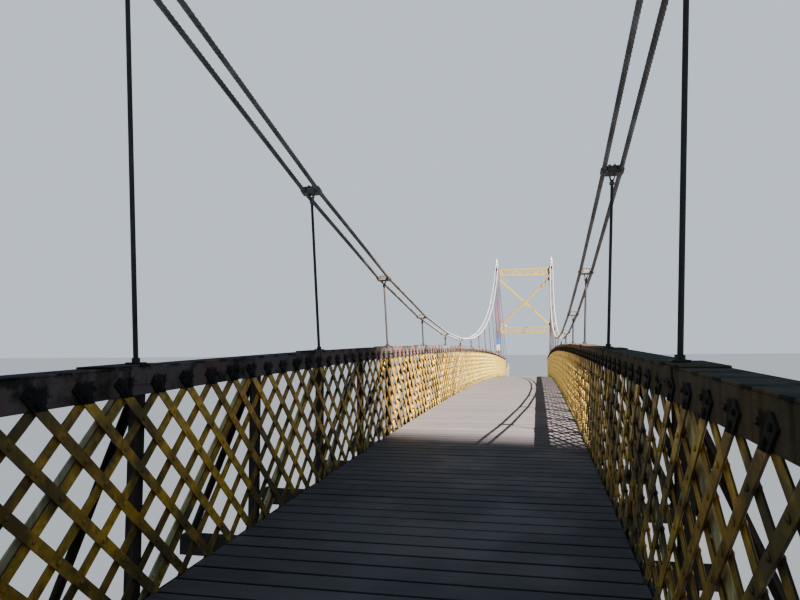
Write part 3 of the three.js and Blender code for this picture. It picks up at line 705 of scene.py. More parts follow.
def galvanised(colours):
    """Grey zinc, kept dull in the near half by painted shade and made paler in the far half by painted
    sunlight.
    """
    paint = old_paint("galvanised_iron", colours)
    # Painted sunlight on the far half.
    paint.coat(paint.spread(paint.axis(0), -4.0, 1.0, 0.0, 0.3), colours.galvanised)
    return paint.done()


def board_material(colours):
    """Slate-dark boards, each with its own tone, with fine grain, paler worn patches, and sides darkened as
    painted shade in the gaps.
    """
    wood = Finish("weathered_boards", 0.7)
    grain = wood.effect("board_grain", wood_group)
    wood.colour = wood.mix(wood.times(wood.tone(), 0.55), colours.boards, colours.boards_pale)
    wood.coat(grain["Worn"], colours.boards_pale, 0.3)
    wood.grain(grain["Grain"], 0.35)
    wood.coat(grain["Cracks"], TINTS["board crack"], 0.5)
    # Painted shade: the sides of the boards, seen in the gaps, are darkened.
    wood.coat(wood.spread(wood.axis(2, "Normal"), 0.94, 0.6), TINTS["painted gap shade"])
    wood.roughness(wood.spread(grain["Worn"], 0.0, 1.0, 0.74, 0.6))
    wood.relief(wood.math("SUBTRACT", grain["Grain"], grain["Cracks"]), 0.3, real(3))
    return wood.done()


def lattice_paint(label, colours):
    """Yellow paint on the flats: clean, faded and dirty ones, with rust round the crossings; painted sunlight
    makes the far half paler, and painted shade darkens the near half in patches and along the flats' edges.
    """
    fade, sooner = LATTICE_FADE_AND_SUN[label]
    paint = Finish(f"lattice_paint_{label}", 0.5)
    crossings = paint.effect("crossing_dirt", crossing_group, Shift=FLAT_SHIFT[label], Reach=0.42)
    faded = paint.weather(2.2, fade, 0.2)
    dirt = paint.weather(15.0, 0.5, 0.14)
    streaks = paint.weather(55.0, 0.2, 0.05, 0.3)
    # Painted sunlight makes the paint paler and chalkier towards the far half, and as painted shade the deep
    # yellow flats keep more of their colour in the near half.
    along = paint.math("ADD", paint.axis(0), sooner)
    painted_sunlight = paint.spread(along, NEAR_PAINTED_SHADE, FAR_PAINTED_SUN)
    paint.colour = paint.mix(painted_sunlight, colours.yellow, colours.yellow_painted_sunlight)
    deep = paint.spread(paint.tone(), 0.2, 0.9)
    paint.coat(paint.times(deep, paint.spread(along, NEAR_PAINTED_SHADE, FAR_PAINTED_SUN, 1.0, 0.4)), colours.yellow_deep)
    chalky = paint.times(paint.math("ADD", painted_sunlight, 0.15), faded["Mask"])
    paint.coat(chalky, colours.yellow_faded, 0.7)
    # Painted dappled shade: dark olive patches over the near half that fade out towards the middle.
    dappled_shade = paint.weather(4.0, 0.43, 0.06)
    paint.coat(paint.times(dappled_shade["Mask"], paint.spread(along, -3.0, 1.0, 0.85, 0.0)), TINTS["dappled_shade"])
    paint.coat(paint.times(crossings["Mask"], dirt["Mask"]), colours.rust, 0.4)
    splashed = paint.times(crossings["Low"], paint.math("ADD", dirt["Mask"], 0.3))
    paint.coat(splashed, TINTS["splashed dirt"], 0.6)
    # Dirt and rust streaks are real, but their larger share in the near half is painted shade.
    paint.coat(dirt["Mask"], colours.grime, paint.spread(along, -2.0, 3.0, 0.6, 0.2))
    paint.coat(streaks["Mask"], colours.rust, paint.spread(along, -2.0, 3.0, 0.75, 0.45))
    paint.grain(faded["Grain"], 0.3)
    # Painted shade on the narrow edges of the flats, strongest in the near half.
    narrow = paint.spread(paint.math("ABSOLUTE", paint.axis(1, "Normal")), 0.6, 0.3)
    paint.coat(paint.times(narrow, paint.spread(along, NEAR_PAINTED_SHADE, 0.0, 0.85, 0.0)), TINTS["painted edge shade"])
    paint.roughness(paint.math("ADD", paint.times(dirt["Mask"], 0.25), 0.42))
    height = paint.math("SUBTRACT", paint.times(faded["Grain"], 0.35), streaks["Mask"])
    paint.relief(height, 0.4, real(1.2))
    return paint.done()


def rope_material(colours):
    """Wires kept dark in the near half by painted shade, and made pale in the far half by painted sunlight
    mixed with worn patches.
    """
    rope = Finish("wire_rope", 0.6, 0.15)
    worn = rope.weather(9.0, 0.45, 0.2)
    # Painted sunlight on the far half, mixed with real worn patches.
    sunlit_and_worn = rope.math("ADD", rope.spread(rope.axis(0), -4.0, 1.0, 0.0, 0.7), rope.times(worn["Mask"], 0.3))
    rope.colour = rope.mix(sunlit_and_worn, colours.rope, colours.galvanised)
    rope.grain(worn["Grain"], 0.3)
    return rope.done()


def concrete_material(colours):
    """Board-marked concrete with lifts, stains that run down and a damp foot."""
    concrete = Finish("concrete", 0.9)
    patches = concrete.weather(1.6, 0.5, 0.25)
    runs = concrete.weather(9.0, 0.35, 0.12, 0.08)
    pores = concrete.weather(70.0, 0.2, 0.03)
    height = concrete.axis(2)
    concrete.colour = concrete.mix(patches["Mask"], colours.concrete, TINTS["concrete patch"])
    concrete.coat(runs["Mask"], TINTS["concrete run"], 0.5)
    damp = concrete.times(concrete.spread(height, real(700), 0.0), concrete.math("ADD", patches["Mask"], 0.3))
    concrete.coat(damp, TINTS["damp"], 0.7)
    seam = concrete.spread(concrete.math("PINGPONG", height, real(75)), real(3), 0.0)
    concrete.coat(seam, TINTS["lift seam"], 0.35)
    concrete.grain(patches["Grain"], 0.4)
    hollows = concrete.math("ADD", pores["Mask"], seam)
    concrete.relief(concrete.math("SUBTRACT", patches["Grain"], hollows), 0.5, real(5))
    return concrete.done()


def stage_material():
    floor = Finish("stage_floor", 0.9)
    floor.colour = floor.mix(floor.weather(0.4, 0.5, 0.3)["Mask"], TINTS["pale floor"], TINTS["floor patch"])
    return floor.done()


# Deck and parapets

def board_unit(width, reach, seed):
    """A board across the deck with eased edges and a slight warp."""
    bm = bmesh.new()
    bmesh.ops.create_cube(bm, size=1.0)
    bmesh.ops.scale(bm, vec=(width, 2 * reach, BOARD_THICKNESS), verts=bm.verts)
    bevel_all(bm, HEAVY_EDGE)
    for share in (-0.4, -0.2, 0.0, 0.2, 0.4):
        slice_at(bm, (0, share * 2 * reach, 0), ACROSS)
    for vert in bm.verts:
        vert.co.x += noise.noise(Vector((seed, vert.co.y * 2.2, 0.0))) * BOARD_PLAY
        if vert.co.z > 0:
            vert.co.z -= abs(noise.noise(Vector((seed, vert.co.y * 3, 9.0)))) * BOARD_PLAY
    return keep(bm)


def make_deck(sizes, colours):
    """Boards across the deck, each with its own width, warp and height."""
    rng = random.Random(11)
    deck = Piece(rng)
    low, high = DECK_BOX
    joint = low.x
    following = low.x + sizes.board_pitch * sizes.first_board
    while joint < high.x - SHORTEST_BOARD:
        stop = min(following, high.x)
        width = stop - joint - rng.uniform(0.75, 1.25) * sizes.board_gap
        x = (joint + stop) / 2
        tilt = Euler((0, -deck_slope(x) + rng.uniform(-1, 1) * BOARD_TILT, 0)).to_matrix().to_4x4()
        drop = rng.uniform(0.2, 1.0) * BOARD_PLAY
        reach = sizes.board_reach - rng.uniform(0, 1) * real(9)
        unit = board_unit(width, reach, rng.uniform(0, 90))
        place = at(x, rng.uniform(-1, 1) * BOARD_PLAY, deck_height(x) - BOARD_THICKNESS / 2 - drop)
        deck.spend(unit, place @ tilt)
        joint, following = following, following + sizes.board_pitch
    deck.finish("deck_planks", [board_material(colours)], "boards", ["deck_boards"])


def make_floor_quarter(quarter, materials):
    """Cross beams, stringers between them and the bolts that hold them."""
    floor = Piece(random.Random(40 + quarter))
    places = stations()
    start, stop = quarter * QUARTER, (quarter + 1) * QUARTER
    bolt = disc(real(16), real(9), 6, real(5))
    for index in range(start + 1 if quarter else start, stop + 1):
        x = places[index]
        at_end = index in (0, len(places) - 1)
        reach = END_BEAM_REACH if at_end else BEAM_REACH
        floor.block((x - BEAM.x / 2, -reach, BEAM_BOTTOM), (x + BEAM.x / 2, reach, BEAM_TOP), real(5))
        for line in (-STRINGER_LINE, STRINGER_LINE):
            for side in (-1, 1):
                lug = x + side * (BEAM.x / 2 + LUG_THICKNESS)
                floor.block((x + side * BEAM.x / 2, line - LUG_REACH, BEAM_TOP - LUG_HEIGHT),
                            (lug, line + LUG_REACH, BEAM_TOP + LUG_HEIGHT), material=1)
                floor.fasten(bolt, (side, 0, 0), (lug, line, BEAM_TOP - real(38)), 1)
        if not at_end:
            for hand, side in CORNERS:
                floor.fasten(bolt, UP, (x, hand * (reach - real(45)) + side * real(16), BEAM_TOP), 1)
    play = real(1)
    for line in (-STRINGER_LINE, STRINGER_LINE):
        for index in range(start, stop):
            floor.block((places[index] + play, line - STRINGER.x / 2, BEAM_TOP),
                        (places[index + 1] - play, line + STRINGER.x / 2, BEAM_TOP + STRINGER.y - play),
                        HEAVY_EDGE)
    discard(bolt)
    floor.arch()
    floor.finish(f"floor_steelwork_{quarter + 1}", materials, "black_steel", [f"floor_frame_{quarter + 1}"])


def make_handrail(label, side, sizes, materials):
    """Web, top plate and angle of a top chord, in lengths that meet under a cover at each hanger."""
    rail = Piece(random.Random(60 + side))
    rivet = disc(sizes.rivet_radius, real(6), 8, real(5))
    small = disc(real(9), real(4), 6, real(3))
    joints = [-HALF_SPAN] + [x - RAIL_JOINT for x in hanger_places()] + [HALF_SPAN]
    plate_low = RAIL_HEIGHT - RAIL_PLATE
    back = FACE + WEB
    for start, stop in zip(joints, joints[1:]):
        tone = rail.rng.random()
        for inner, outer, low, high, edge, shade in (
                (FACE, back, RAIL_HEIGHT - RAIL_DEPTH, plate_low, STEEL_EDGE, tone),
                (FACE, FACE + RAIL_WIDTH, plate_low, RAIL_HEIGHT, PLATE_EDGE, tone),
                (back, back + ANGLE_THICKNESS, plate_low - RAIL_ANGLE, plate_low, STEEL_EDGE, None),
                (back, back + RAIL_ANGLE, plate_low - ANGLE_THICKNESS, plate_low, STEEL_EDGE, None)):
            rail.block((start + RAIL_GAP, side * inner, low), (stop - RAIL_GAP, side * outer, high),
                       edge, shade, cuts=3)
    for x in hanger_places():
        add_splice_cover(rail, side, x, small)
    for index in range(-HALF_FLATS - 1, HALF_FLATS + 1):
        for lap in LAP_RIVETS:
            x = crossing_place(index, label) + (LAP - lap) / FLAT_SLOPE
            if abs(x) < HALF_SPAN - real(20):
                rail.fasten(rivet, (0, -side, 0), (x, side * FACE, TOP_ROW + LAP - lap))
    discard(rivet, small)
    rail.arch()
    rail.finish(f"top_chord_{label}", materials, "black_steel", [f"handrail_{label}"])


def add_splice_cover(rail, side, x, rivet):
    """Covers over a joint of the top chord: one on its top and a short riveted one on its inner face."""
    tone = rail.rng.random()
    rail.block((x - real(310), side * (FACE - real(2)), RAIL_HEIGHT),
               (x + real(170), side * (FACE + RAIL_WIDTH - real(4)), RAIL_HEIGHT + real(10)),
               PLATE_EDGE, tone, cuts=1)
    start, stop = x - RAIL_JOINT + RAIL_GAP, x + real(220)
    inner = side * (FACE - real(9))
    rail.block((start, inner, RAIL_HEIGHT - real(100)), (stop, side * FACE, RAIL_HEIGHT - RAIL_GAP),
               tone=tone)
    rivets = 4
    for index in range(rivets):
        across = start + (index + 0.5) * (stop - start) / rivets
        rail.fasten(rivet, (0, -side, 0), (across, inner, RAIL_HEIGHT - real(78)))


def make_lattice(label, side, sizes, materials):
    """Crossed flats of a parapet in four quarters, riveted where they cross."""
    rng = random.Random(80 + side)
    top, bottom = TOP_ROW + LAP, TOP_ROW - (ROWS - 1) * ROW_PITCH - LAP
    reach = (top - bottom) / FLAT_SLOPE
    thickness = sizes.flat_thickness
    inner, outer = FACE - thickness / 2, FACE + WEB + thickness / 2
    rivet = through_rivet(sizes.rivet_radius, outer - inner + thickness)
    small = rivet_head(sizes, sides=8)
    rivets_end = HALF_SPAN - real(30)
    for quarter in range(QUARTERS):
        lattice = Piece(rng)
        start = -HALF_SPAN + quarter * QUARTER * HALF_BAY
        stop = start + QUARTER * HALF_BAY
        for index in range(-HALF_FLATS - FLATS_PAST_END, HALF_FLATS + FLATS_PAST_END):
            for lean, line in ((1, inner), (-1, outer)):
                high_x = crossing_place(index, label) - lean * LAP / FLAT_SLOPE
                low_x = high_x + lean * reach
                middle = (high_x + low_x) / 2
                before, after = middle < start and quarter > 0, middle >= stop and quarter < QUARTERS - 1
                if before or after or min(high_x, low_x) > HALF_SPAN or max(high_x, low_x) < -HALF_SPAN:
                    continue
                y = side * line
                lattice.bar((high_x, y, top), (low_x, y, bottom), sizes.flat_width, thickness,
                            bevel=THIN_EDGE)
                out = -side * lean
                ends = [(high_x, top, 1, lap) for lap in LAP_RIVETS] + [(low_x, bottom, -1, LAP_RIVETS[0])]
                for spot, height, way, lap in ends:
                    x = spot + way * lean * lap / FLAT_SLOPE
                    if abs(x) < rivets_end:
                        place = (x, y + out * thickness / 2, height - way * lap)
                        lattice.fasten(small, (0, out, 0), place, int(way > 0))
        for row in range(ROWS):
            for index in range(-HALF_FLATS - 1, HALF_FLATS + 1):
                x = crossing_place(index, label) + (row % 2) * FLAT_PITCH / 2
                if start <= x < stop and abs(x) < rivets_end:
                    lattice.stamp(rivet, at(x, side * (inner + outer) / 2, TOP_ROW - row * ROW_PITCH))
        if quarter in (0, QUARTERS - 1):
            cut_ends(lattice.bm, HALF_SPAN - real(2))
        paint_flat_ends(lattice.bm)
        lattice.arch()
        lattice.finish(f"lattice_flats_{label}_{quarter + 1}", materials, "yellow_steel",
                       [f"lattice_{label}_{quarter + 1}"])
    discard(rivet, small)


def cut_ends(bm, reach):
    """Cuts a piece off square at both ends and closes it."""
    for end in (-1, 1):
        cut = slice_at(bm, (end * reach, 0, 0), (end, 0, 0), True)
        edges = [item for item in cut["geom_cut"] if isinstance(item, bmesh.types.BMEdge)]
        bmesh.ops.holes_fill(bm, edges=edges, sides=0)


def paint_flat_ends(bm):
    """Splits the flats at the top chord's lower edge and gives their laps the chord's paint."""
    edge = RAIL_HEIGHT - RAIL_DEPTH - RAIL_GAP
    slice_at(bm, (0, 0, edge), UP)
    for face in bm.faces:
        if face.calc_center_median().z > edge:
            face.material_index = 1


def make_parapet_frame(label, side, end_label, end, sizes, materials):
    """Bottom chord, posts, riveted main diagonals with doublers, and raking struts of half a parapet."""
    parapet = Piece(random.Random(100 + side * 3 + end))
    rivet = rivet_head(sizes, 0.85, crown=real(4))
    places = stations()
    half = places[:BAYS + 1] if end < 0 else places[BAYS:]
    plate = real(10)
    back = FRAME_FACE + plate
    for x0, x1 in zip(half, half[1:]):
        parapet.block((x0, side * FACE, FRAME_LOW), (x1, side * (FACE + WEB), FRAME_LOW + BOTTOM_CHORD.y))
        parapet.block((x0, side * (FACE + WEB), FRAME_LOW),
                      (x1, side * (FACE + BOTTOM_CHORD.x), FRAME_LOW + plate))
    for x in half if end < 0 else half[1:]:
        tone = parapet.rng.random()
        for reach, inner, outer in ((POST_WIDTH / 2, FRAME_FACE, back),
                                    (plate / 2, back, FRAME_FACE + POST_DEPTH)):
            parapet.block((x - reach, side * inner, FRAME_LOW), (x + reach, side * outer, POST_TOP),
                          tone=tone)
        if abs(x) < HALF_SPAN - real(10):
            add_raker(parapet, x, side, rivet)
    for pair in zip(half, half[1:]):
        add_diagonal(parapet, side, end, *pair[::-end], rivet)
    discard(rivet)
    parapet.arch()
    parapet.finish(f"parapet_posts_{label}_{end_label}", materials, "black_steel",
                   [f"parapet_frame_{label}_{end_label}"])


def add_raker(parapet, x, side, rivet):
    """A raking strut of angle section from the end of the cross beam up to the post."""
    tone = parapet.rng.random()
    half, thin = RAKER_WIDTH / 2, ANGLE_THICKNESS
    head = Vector((x, side * (FRAME_FACE + POST_DEPTH - half), POST_TOP - real(110)))
    foot = Vector((x, side * (BEAM_REACH - real(70)), FRAME_LOW + real(6)))
    for shift, across, deep in ((half - thin / 2, thin, RAKER_WIDTH), (0, RAKER_WIDTH, thin)):
        aside = Vector((shift, 0, 0))
        parapet.bar(foot + aside, head + aside, across, deep, bevel=THIN_EDGE, tone=tone)
    top = FRAME_LOW + real(10)
    parapet.block((x - real(50), foot.y - side * real(45), FRAME_LOW),
                  (x + real(50), foot.y + side * real(55), top), tone=tone)
    for step in (-real(32), real(32)):
        parapet.stamp(rivet, at(x + step, foot.y - side * real(28), top))


def add_diagonal(parapet, side, end, low_x, high_x, rivet):
    """A main diagonal: a wide flat with rivets along one edge and a doubler at its foot."""
    half = real(6)
    y = side * (FRAME_FACE + real(3) + half)
    foot = Vector((low_x - end * POST_WIDTH / 2, y, FRAME_LOW + BOTTOM_CHORD.y / 2))
    head = Vector((high_x + end * (POST_WIDTH / 2 + DIAGONAL_WIDTH), y, POST_TOP - DIAGONAL_WIDTH))
    parapet.bar(foot, head, DIAGONAL_WIDTH, 2 * half, material=1)
    length = (head - foot).length
    run = (head - foot).normalized()
    square = run.cross(ACROSS).normalized()
    if square.z > 0:
        square = -square
    inner = y - side * half
    rivets = 12
    for index in range(rivets):
        place = foot + run * (index + 0.7) * length / rivets + square * (DIAGONAL_WIDTH / 2 - real(20))
        parapet.fasten(rivet, (0, -side, 0), (place.x, inner, place.z), 1)
    lift = Vector((0, side * real(-11), 0))
    stop = foot + run * real(330) + lift
    parapet.bar(foot + lift, stop, DIAGONAL_WIDTH + real(26), real(8), material=1)
    for index in range(3):
        for step in (-1, 1):
            place = foot + run * (real(90) + index * real(95)) + square * step * real(42)
            parapet.fasten(rivet, (0, -side, 0), (place.x, inner - side * real(9), place.z), 1)


# Ropes and hangers

def saddle_route():
    """The rope's way over a tower, from the span to the anchor, as distances past the tower and heights."""
    peak = rope_height(HALF_SPAN)
    slope = math.atan((peak - rope_height(HALF_SPAN - BAY)) / BAY)
    angles = [slope * (1 - step / 3) for step in range(3)] + [-BACKSTAY_ANGLE * step / 8 for step in range(9)]
    points = [(-SADDLE_RADIUS * math.sin(angle), peak - SADDLE_RADIUS * (1 - math.cos(angle)))
              for angle in angles]
    past, height = points[-1]
    foot = DECK_LEVEL + ANCHOR_FOOT
    return points + [(past + (height - foot) / math.tan(BACKSTAY_ANGLE), foot)]


def rope_route(side, offset):
    """Points of a rope from anchor to anchor."""
    tower_y = side * (TOWER_LINE + offset)
    far = [Vector((HALF_SPAN + past, tower_y, height)) for past, height in saddle_route()]
    near = [Vector((-place.x, place.y, place.z)) for place in reversed(far)]
    span = [Vector((x, side * (rope_line(x) + offset), rope_height(x))) for x in hanger_places()]
    return near + span + far


def straight_rope(length, sizes):
    """Six strands laid up round a straight line along X."""
    steps = LAYS_IN_UNIT * STEPS_IN_LAY
    copies = round(length / sizes.rope_lay / LAYS_IN_UNIT)
    step = length / (copies * steps)
    bm = bmesh.new()
    bmesh.ops.create_circle(bm, cap_ends=False, segments=STRANDS * 2, radius=ROPE_RADIUS + STRAND_CROWN)
    for index, vert in enumerate(bm.verts):
        if index % 2:
            vert.co *= STRAND_VALLEY
    bmesh.ops.rotate(bm, verts=bm.verts, cent=(0, 0, 0), matrix=Matrix.Rotation(math.pi / 2, 3, "Y"))
    bmesh.ops.spin(bm, geom=bm.edges[:], cent=(0, 0, 0), axis=(1, 0, 0), dvec=(step, 0, 0),
                   angle=2 * math.pi * LAYS_IN_UNIT, steps=steps)
    unit = bpy.data.meshes.new("lay")
    bm.to_mesh(unit)
    bm.free()
    whole = Piece()
    for index in range(copies):
        whole.stamp(unit, at(index * step * steps, 0, 0), 0.5)
    discard(unit)
    bmesh.ops.remove_doubles(whole.bm, verts=whole.bm.verts, dist=step / 20)
    bmesh.ops.holes_fill(whole.bm, edges=[edge for edge in whole.bm.edges if edge.is_boundary], sides=0)
    return keep(whole.bm)


def lay_on_route(mesh, route):
    """Moves a straight rope onto its route, keeping its section square to it."""
    points = np.array(route)
    runs = np.diff(points, axis=0)
    lengths = np.linalg.norm(runs, axis=1)
    starts = np.concatenate([[0], np.cumsum(lengths)])
    flat = np.empty(len(mesh.vertices) * 3, np.float32)
    mesh.vertices.foreach_get("co", flat)
    local = flat.reshape(-1, 3).astype(float)
    along = np.clip(local[:, 0], 0, starts[-1] - 1e-6)
    index = np.clip(np.searchsorted(starts, along, side="right") - 1, 0, len(runs) - 1)
    run = runs[index] / lengths[index][:, None]
    place = points[index] + run * (along - starts[index])[:, None]
    level = np.cross(run, UP)
    level /= np.linalg.norm(level, axis=1)[:, None]
    moved = place + level * local[:, 1:2] + np.cross(level, run) * local[:, 2:3]
    mesh.vertices.foreach_set("co", moved.astype(np.float32).ravel())
    mesh.update()


def inner_rope_nodes(label):
    return [f"rope_{label}_inner_{stretch}" for stretch in ROPE_STRETCHES]


def make_ropes(sizes, colours):
    """Outer and inner rope of each side, with a socket at both ends."""
    materials = [rope_material(colours), galvanised(colours)]
    socket = turned(SOCKET_PROFILE, 14)
    for label, side in SIDES:
        for name, offset, nodes in (("outer", ROPE_SPACING / 2, [f"rope_{label}_outer"]),
                                    ("inner", -ROPE_SPACING / 2, inner_rope_nodes(label))):
            route = rope_route(side, offset)
            wires = straight_rope(sum((b - a).length for a, b in zip(route, route[1:])), sizes)
            lay_on_route(wires, route)
            rope = Piece()
            rope.bm.from_mesh(wires)
            discard(wires)
            for foot, after in (route[:2], route[:-3:-1]):
                rope.stamp(socket, facing(after - foot, foot), 0.5, 1)
            rope.finish(f"wire_rope_{label}_{name}", materials, "rope", nodes, 40, False)
    discard(socket)


def make_hangers(label, side, sizes, materials):
    """Rods with their nuts and washers on the top chord, and the clamps that hold them to both ropes."""
    hangers = Piece(random.Random(140 + side))
    nut = disc(real(25), real(24), 6)
    band = turned(BAND_PROFILE, 12)
    bolt = disc(real(15), real(14), 6, real(5))
    corner = Vector((real(42), real(42), 0))
    for x in hanger_places():
        ropes = Vector((x, side * rope_line(x), rope_height(x)))
        turn = Matrix.Translation(ropes) @ Matrix.Rotation(-rope_slope(x), 4, "Y")
        for hand in (-1, 1):
            spot = at(0, hand * ROPE_SPACING / 2, 0) @ Matrix.Rotation(math.pi / 2, 4, "Y")
            hangers.stamp(band, turn @ spot, None, 1)
        for level in (-1, 1):
            plate = block(real(80), real(190), real(13), PLATE_EDGE)
            hangers.spend(plate, turn @ at(0, 0, level * real(33)), None, 1)
        hangers.spend(block(real(70), real(84), real(54), PLATE_EDGE), turn, None, 1)
        for step, hand in CORNERS:
            hangers.stamp(bolt, turn @ at(step * real(22), hand * real(24), real(39)), None, 1)
        foot = Vector((x, side * HANGER_LINE, deck_height(x) + RAIL_HEIGHT))
        away = (foot - ropes).normalized()
        eye = ropes + away * real(108)
        for hand in (-1, 1):
            start = ropes + Vector((0, hand * real(30), -real(30)))
            hangers.bar(start, eye + Vector((0, hand * real(9), 0)), real(46), real(11), material=1)
        hangers.fasten(nut, -away, eye + away * real(28), 1)
        hangers.rod(eye - away * real(20), foot + away * (RAIL_PLATE + real(52)), sizes.rod_radius, 12)
        raised = foot + UP * real(11)
        washer_top = UP * real(10)
        hangers.block(raised - corner, raised + corner + washer_top)
        hangers.fasten(nut, -away, raised + washer_top)
        hangers.fasten(nut, away, foot - UP * RAIL_PLATE)
    discard(nut, band, bolt)
    hangers.finish(f"hangers_{label}", materials, "rope", inner_rope_nodes(label))


# Towers

class Leg(Piece):
    """A tower leg in the making, with its place and levels."""

    def __init__(self, label, side, end_label, end):
        super().__init__(random.Random(160 + side + 3 * end))
        self.name = f"tower_leg_{end_label}_{label}"
        self.low, self.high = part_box(self.name)
        self.x, self.y = end * HALF_SPAN, side * TOWER_LINE
        self.bottom, self.top = self.low.z + real(50), self.high.z - real(40)
        girders = [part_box(f"portal_{level}_girder_{end_label}") for level in ("lower", "top")]
        self.girders = [(low.z + high.z) / 2 for low, high in girders]

    def channels(self):
        """Two channels with plain backs along the bridge."""
        for hand in (1, -1):
            back = self.x + hand * LEG_HALF
            tone = self.rng.random()
            self.block((back - hand * PLATE, self.y - FLANGE, self.bottom), (back, self.y + FLANGE, self.top),
                       PLATE_EDGE, tone)
            for face in (1, -1):
                edge = self.y + face * FLANGE
                self.block((back - hand * CHANNEL_WIDTH, edge - face * PLATE, self.bottom),
                           (back - hand * PLATE, edge, self.top), PLATE_EDGE, tone)

    def latticed_face(self, face, gussets, rivet):
        """Riveted battens with crossed lacing between them, on a face across the bridge."""
        outer = self.y + face * LEG_HALF
        pitch = (self.top - self.bottom) / LEG_BATTENS
        plates = [(self.bottom + (index + 0.5) * pitch, real(85)) for index in range(LEG_BATTENS)]
        for middle, reach in plates + [(level, real(270)) for level in gussets]:
            plate_top = min(middle + reach, self.top)
            self.block((self.x - LEG_HALF + BATTEN_INSET, self.y + face * FLANGE, middle - reach),
                       (self.x + LEG_HALF - BATTEN_INSET, outer, plate_top))
            rows = round(reach / real(29))
            for hand in (-1, 1):
                for row in range(rows):
                    level = middle - reach + (row + 0.5) * (plate_top - middle + reach) / rows
                    self.fasten(rivet, (0, face, 0), (self.x + hand * (LEG_HALF - real(48)), outer, level))
        for index in range(LEG_BATTENS - 1):
            low = self.bottom + (index + 0.5) * pitch + real(60)
            high = self.bottom + (index + 0.5) * pitch + pitch - real(60)
            for lean, depth in ((-1, real(6.6)), (1, real(2.2))):
                layer = self.y + face * (FLANGE + depth)
                self.bar((self.x + lean * real(105), layer, low), (self.x - lean * real(105), layer, high),
                         real(48), real(4.4), bevel=real(1))

    def splice_plates(self, hand, rivet):
        """Riveted plates on one back, over the foot and at the lower girder."""
        line = self.x + hand * LEG_HALF
        face = line + hand * real(9)
        reach = real(130)
        for middle in (self.bottom + reach, self.girders[0]):
            self.block((line, self.y - FLANGE, middle - reach), (face, self.y + FLANGE, middle + reach))
            for column in (-1, -0.33, 0.33, 1):
                for row in (-1, 0, 1):
                    spot = (face, self.y + column * real(125), middle + row * real(90))
                    self.fasten(rivet, (hand, 0, 0), spot)

    def notice_plates(self):
        """Two blank plates on the face towards the span: a blue one, and a smaller white one under it."""
        bolt = disc(real(12), real(7), 6, real(4))
        face = self.x - LEG_HALF
        front = face - real(8)
        for half, low, high, material in ((real(350) / 2, real(2220), real(2640), 1),
                                          (real(230) / 2, real(1790), real(2190), 2)):
            foot = self.low.z
            self.block((front, self.y - half, foot + low), (face, self.y + half, foot + high),
                       PLATE_EDGE, None, material)
            for across in (-1, 1):
                for level in (low + real(30), high - real(30)):
                    spot = (front, self.y + across * (half - real(28)), foot + level)
                    self.fasten(bolt, (-1, 0, 0), spot, material)
        discard(bolt)


def make_tower_leg(label, side, end_label, end, sizes, materials):
    """Two channels on a bolted base, joined by battens and lacing on the faces across the bridge."""
    leg = Leg(label, side, end_label, end)
    rivet = rivet_head(sizes)
    leg.channels()
    for face in (1, -1):
        leg.latticed_face(face, leg.girders if face == -side else [], rivet)
    x, y = leg.x, leg.y
    foot = (leg.high.x - leg.low.x) / 2
    for reach, low, high, edge in ((foot, leg.low.z, leg.bottom, real(5)),
                                   (LEG_HALF, leg.top, leg.high.z, HEAVY_EDGE)):
        leg.block((x - reach, y - reach, low), (x + reach, y + reach, high), edge)
    bolt = disc(*ANCHOR_BOLT)
    for dx in (-1, 1):
        for dy in (-1, 1):
            leg.stamp(bolt, at(x + dx * (foot - real(60)), y + dy * (foot - real(60)), leg.bottom))
        leg.splice_plates(dx, rivet)
    discard(rivet, bolt)
    if len(materials) > 1:
        leg.notice_plates()
    leg.finish(f"{leg.name}_built", materials, "grey_steel", [leg.name])


def saddle_body(low_z):
    """A casting with a rounded top that the ropes lie over."""
    crown = SADDLE_RADIUS - ROPE_RADIUS - real(0.6)
    centre = rope_height(HALF_SPAN) - ROPE_RADIUS - crown - real(0.3)
    reach = math.asin(SADDLE_LENGTH / 2 / crown)
    steps = 12
    work = bmesh.new()
    outline = [(-SADDLE_LENGTH / 2, low_z), (SADDLE_LENGTH / 2, low_z)]
    for step in range(steps + 1):
        angle = reach * (1 - 2 * step / steps)
        outline.append((crown * math.sin(angle), centre + crown * math.cos(angle)))
    face = work.faces.new([work.verts.new((x, -SADDLE_WIDTH / 2, z)) for x, z in outline])
    made = bmesh.ops.extrude_face_region(work, geom=[face])
    moved = [item for item in made["geom"] if isinstance(item, bmesh.types.BMVert)]
    bmesh.ops.translate(work, verts=moved, vec=(0, SADDLE_WIDTH, 0))
    bmesh.ops.recalc_face_normals(work, faces=work.faces)
    bevel_all(work, HEAVY_EDGE)
    return keep(work)


def make_saddle(label, side, end_label, end, materials):
    """The saddle casting with its bolts, and the turned finial on it."""
    name = f"tower_saddle_{end_label}_{label}"
    low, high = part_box(name)
    saddle = Piece(random.Random(180 + side + 3 * end))
    x, y = end * HALF_SPAN, side * TOWER_LINE
    saddle.spend(saddle_body(low.z), at(x, y, 0))
    saddle.spend(turned(FINIAL_PROFILE, 20), at(x, y, high.z - FINIAL_HEIGHT), None, 1)
    bolt = disc(real(18), real(14), 6, real(8))
    for dx, dy in CORNERS:
        spot = (x + dx * SADDLE_LENGTH / 2 * 0.97, y + dy * real(110), low.z + real(30))
        saddle.fasten(bolt, (dx, 0, 0), spot)
    discard(bolt)
    saddle.finish(f"saddle_{end_label}_{label}", materials, "grey_steel", [name], 35)


